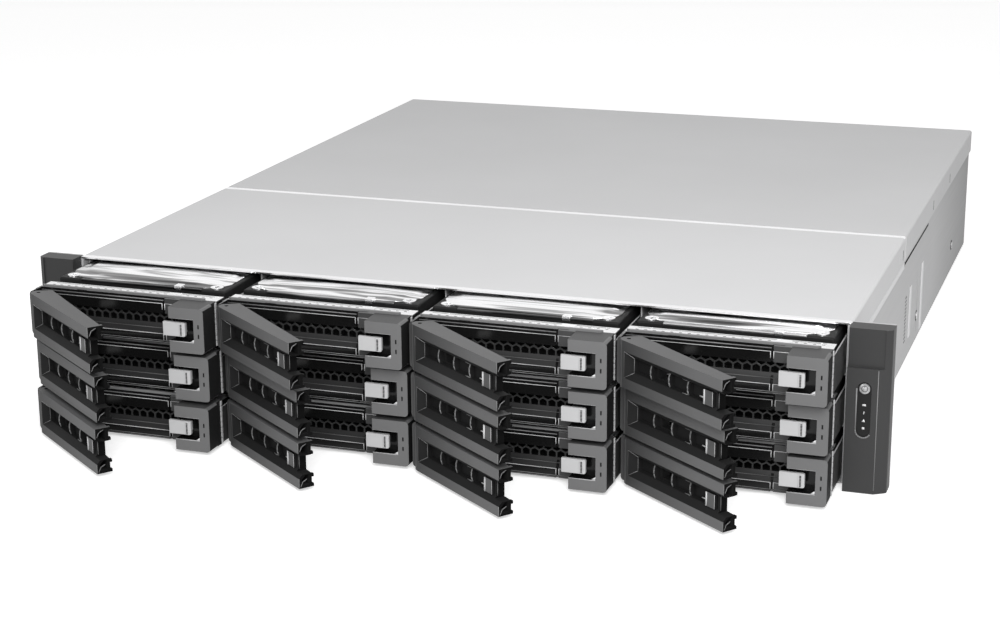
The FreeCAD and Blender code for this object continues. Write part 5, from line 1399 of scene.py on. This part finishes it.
dressed_node("rear_panel", "chassis", "zinc_steel", [zinc_sheet], radius=0.15)
port_finishes = [port_shell, connector_black, insert_blue]
dressed_node("io_ports", "chassis", "port_metal", port_finishes, port_face, radius=0.12)
print("rear panel and port shells")

# %% [markdown]
# ## Port contacts
# Inside the ports sit tongues, pins, pads and lamps. All are rows of blocks with their own pitch.

# %% Port contacts
VIDEO_X, SERIAL_X, NETWORK_X = -181.9, -153.3, (-132.1, -110.1)
VIDEO_PITCH, VIDEO_ROW, VIDEO_FRONT, VIDEO_TOP, POST_X, POST_Z = 2.3, 2.0, 5.6, 8.3, 12.4, 6.25
slide_grey = finish("thumb slide", grey(0.32), 0.45, grain=2200, bump=0.1, shade=0.05)
gold_plate = finish("gold contact", (0.83, 0.58, 0.22), 0.25, metal=1.0, grain=1600, bump=0.05, shade=0.1)
lamp_green = finish("link lamp", (0.05, 0.32, 0.08), 0.25, grain=2000, bump=0.03, shade=0.1)

contacts = []
# The video socket's holes are black blocks: painted shade.
for k, shift in enumerate((-0.5, 0.0, -0.5)):
    row_x, row_z = VIDEO_X + VIDEO_PITCH * (shift - 1.75), PORT_LOW + VIDEO_TOP - VIDEO_ROW * k
    first = (row_x, REAR_Y + VIDEO_FRONT, row_z)
    contacts.append(block_row("video holes", 5, first, step=(VIDEO_PITCH, 0, 0), size=(0.9, 0.08, 0.9),
                              material=painted_shade_black))
posts = [(VIDEO_X + side * POST_X, REAR_Y, PORT_LOW + POST_Z) for side in (-1, 1)]
contacts.append(screw_heads("jack posts", posts, radius=2.2, height=2.6, turn=TO_REAR, material=port_shell))
for z in (PORT_LOW + 4.6, PORT_LOW + 11.4):
    contacts.append(block("serial tongue", (SERIAL_X, REAR_Y - 4.6, z), size=(10.6, 8.2, 1.7),
                          material=slide_grey))
    first = (SERIAL_X - 3.6, REAR_Y - 4.0, z - 0.9)
    contacts.append(block_row("serial pads", 4, first, step=(2.4, 0, 0), size=(1.0, 7.0, 0.16),
                              material=gold_plate))
for x in NETWORK_X:
    first = (x - 3.6, REAR_Y - 6.0, PORT_LOW + 9.9)
    contacts.append(block_row("network pins", 8, first, step=(1.03, 0, 0), size=(0.45, 9.0, 0.4),
                              material=gold_plate))
    first = (x - 4.3, REAR_Y, PORT_LOW + 12.2)
    contacts.append(block_row("link lamps", 2, first, step=(8.6, 0, 0), size=(2.6, 0.12, 1.3),
                              material=lamp_green))
print(len(contacts), "rows of port contacts")
add_piece("port_contacts", joined("port contacts", *contacts), "chassis", "port_metal")

# %% [markdown]
# ## Rear screws
# A screw holds the top of each card cover, and four more stand along the foot of the rear wall.

# %% Rear screws
CARD_X, CARD_TOP = (-52.3, -32.0, -11.7, 8.6), 80.0
FOOT_X, FOOT_Z = (-205.0, -85.0, 60.0, 128.0), 6.0
rear_places = [(x, REAR_Y, CARD_TOP) for x in CARD_X] + [(x, REAR_Y, FOOT_Z) for x in FOOT_X]
rear_screws = screw_heads("rear screws", rear_places, radius=2.3, height=1.0, turn=TO_REAR,
                          material=port_shell)
add_piece("rear_screws", rear_screws, "chassis", "screw_steel")
print(len(rear_places), "rear screws")

# %% [markdown]
# ## Power supplies
# Each supply is a plain case with a fan behind a wire guard, a mains inlet with three blades and
# a bent pull. The guard's rings come from the ring tree, and blades and vents from the row tree.

# %% Power supplies
INLET_X, INLET_HALF, INLET_D, FAN_X, CASE_Y, WELL_D = 198.8, 13.6, 12.0, 156.3, 261.1, 2.0
BLADE_X, BLADE_SIZE, EARTH_SIZE = 7.0, (2.0, 11.0, 4.0), (2.0, 12.0, 4.0)
VENTS, VENT_X, VENT_LOW, VENT_STEP, VENT_SIZE = 9, 176.4, 14.0, 3.5, (1.6, 0.1, 1.6)
SLIDE_RIBS, SLIDE_RIB_IN, SLIDE_RIB_STEP, SLIDE_RIB_SIZE = 4, 1.5, 1.0, (0.4, 0.3, 4.6)
supply_case = finish("supply casing", grey(0.6), 0.38, metal=0.8, grain=900, bump=0.08, shade=0.05,
                     drawn="y")
supply_finishes = [supply_case, connector_black, painted_shade_black]


def supply_face(centre, normal):
    """0 plain case, 1 black inlet and pull, 2 the well behind the fan guard, painted dark as painted shade.
    """
    y = centre.y
    in_inlet = abs(centre.x - INLET_X) < INLET_HALF and y > CASE_Y - INLET_D and abs(normal.y) < 0.5
    if y > CASE_Y + 0.05 or in_inlet:
        return 1
    if normal.y > FACING and CASE_Y - WELL_D - 0.5 < y < CASE_Y - 0.5:
        return 2
    return 1 if normal.y > FACING and CASE_Y - 15.0 < y < CASE_Y - 5.0 else 0


def dress_supply(number):
    body, latch = f"psu_{number}", f"psu_latch_{number}"
    low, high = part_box(body)
    middle = (low.z + high.z) / 2 / MM
    dressed_node(body, body, "psu_metal", supply_finishes, supply_face, radius=0.3)
    guard = wire_rings("fan guard", 4, first=4.0, step=3.2, wire=0.5, material=port_shell)
    blade_at = (INLET_X - BLADE_X, CASE_Y - 5.5, middle - 2.0)
    blades = block_row("mains blades", 2, blade_at, (2 * BLADE_X, 0, 0), BLADE_SIZE, port_shell)
    earth = block("earth blade", (INLET_X, CASE_Y - 5.0, middle + 2.5), EARTH_SIZE, port_shell)
    # The vents are black blocks on the case: painted shade in the openings.
    vent_at = (VENT_X, CASE_Y, middle - VENT_LOW)
    vents = block_row("case vents", VENTS, vent_at, (0, 0, VENT_STEP), VENT_SIZE, painted_shade_black)
    moved(guard, FAN_X, CASE_Y - 0.6, middle)
    add_piece(f"{body}_details", joined("supply details", guard, blades, earth, vents), body, "psu_metal")
    dressed_node(latch, latch, "psu_latch_plastic", [slide_grey], radius=0.3)
    latch_low, latch_high = (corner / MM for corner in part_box(f"psu_latch_{number}"))
    rib_at = (latch_low.x + SLIDE_RIB_IN, latch_high.y, (latch_low.z + latch_high.z) / 2)
    ribs = block_row("slide ribs", SLIDE_RIBS, rib_at, (SLIDE_RIB_STEP, 0, 0), SLIDE_RIB_SIZE,
                     connector_black)
    add_piece(f"{latch}_ribs", ribs, latch, "psu_latch_plastic")


SUPPLIES = (1, 2)
for number in SUPPLIES:
    dress_supply(number)
print(len(SUPPLIES), "power supplies")

# %% [markdown]
# ## Inside
# Little of the inside shows past the trays, so its frame solids stay as they are and only get
# the finish of the real part.

# %% Inside
board_green = finish("solder mask", (0.018, 0.085, 0.045), 0.3, grain=500, bump=0.15, shade=0.3, patch=120)
fan_black = finish("fan moulding", grey(0.03), 0.45, grain=2000, bump=0.1, shade=0.1)
fin_metal = finish("extruded fins", grey(0.7), 0.35, metal=1.0, grain=900, bump=0.1, shade=0.06, drawn="y")
INSIDE = {"drive_cage": zinc_sheet, "backplane": board_green, "fan_wall": fan_black,
          "mainboard": board_green, "cpu_heatsink": fin_metal, "memory_modules": board_green,
          "psu_cage": zinc_sheet, "fan_rotor_1": fan_black, "fan_rotor_2": fan_black,
          "fan_rotor_3": fan_black}
for name, material in INSIDE.items():
    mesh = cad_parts[name].data
    mesh.materials.clear()
    mesh.materials.append(material)
print("inside finished:", ", ".join(INSIDE))

# %% Finish
print("scene built")
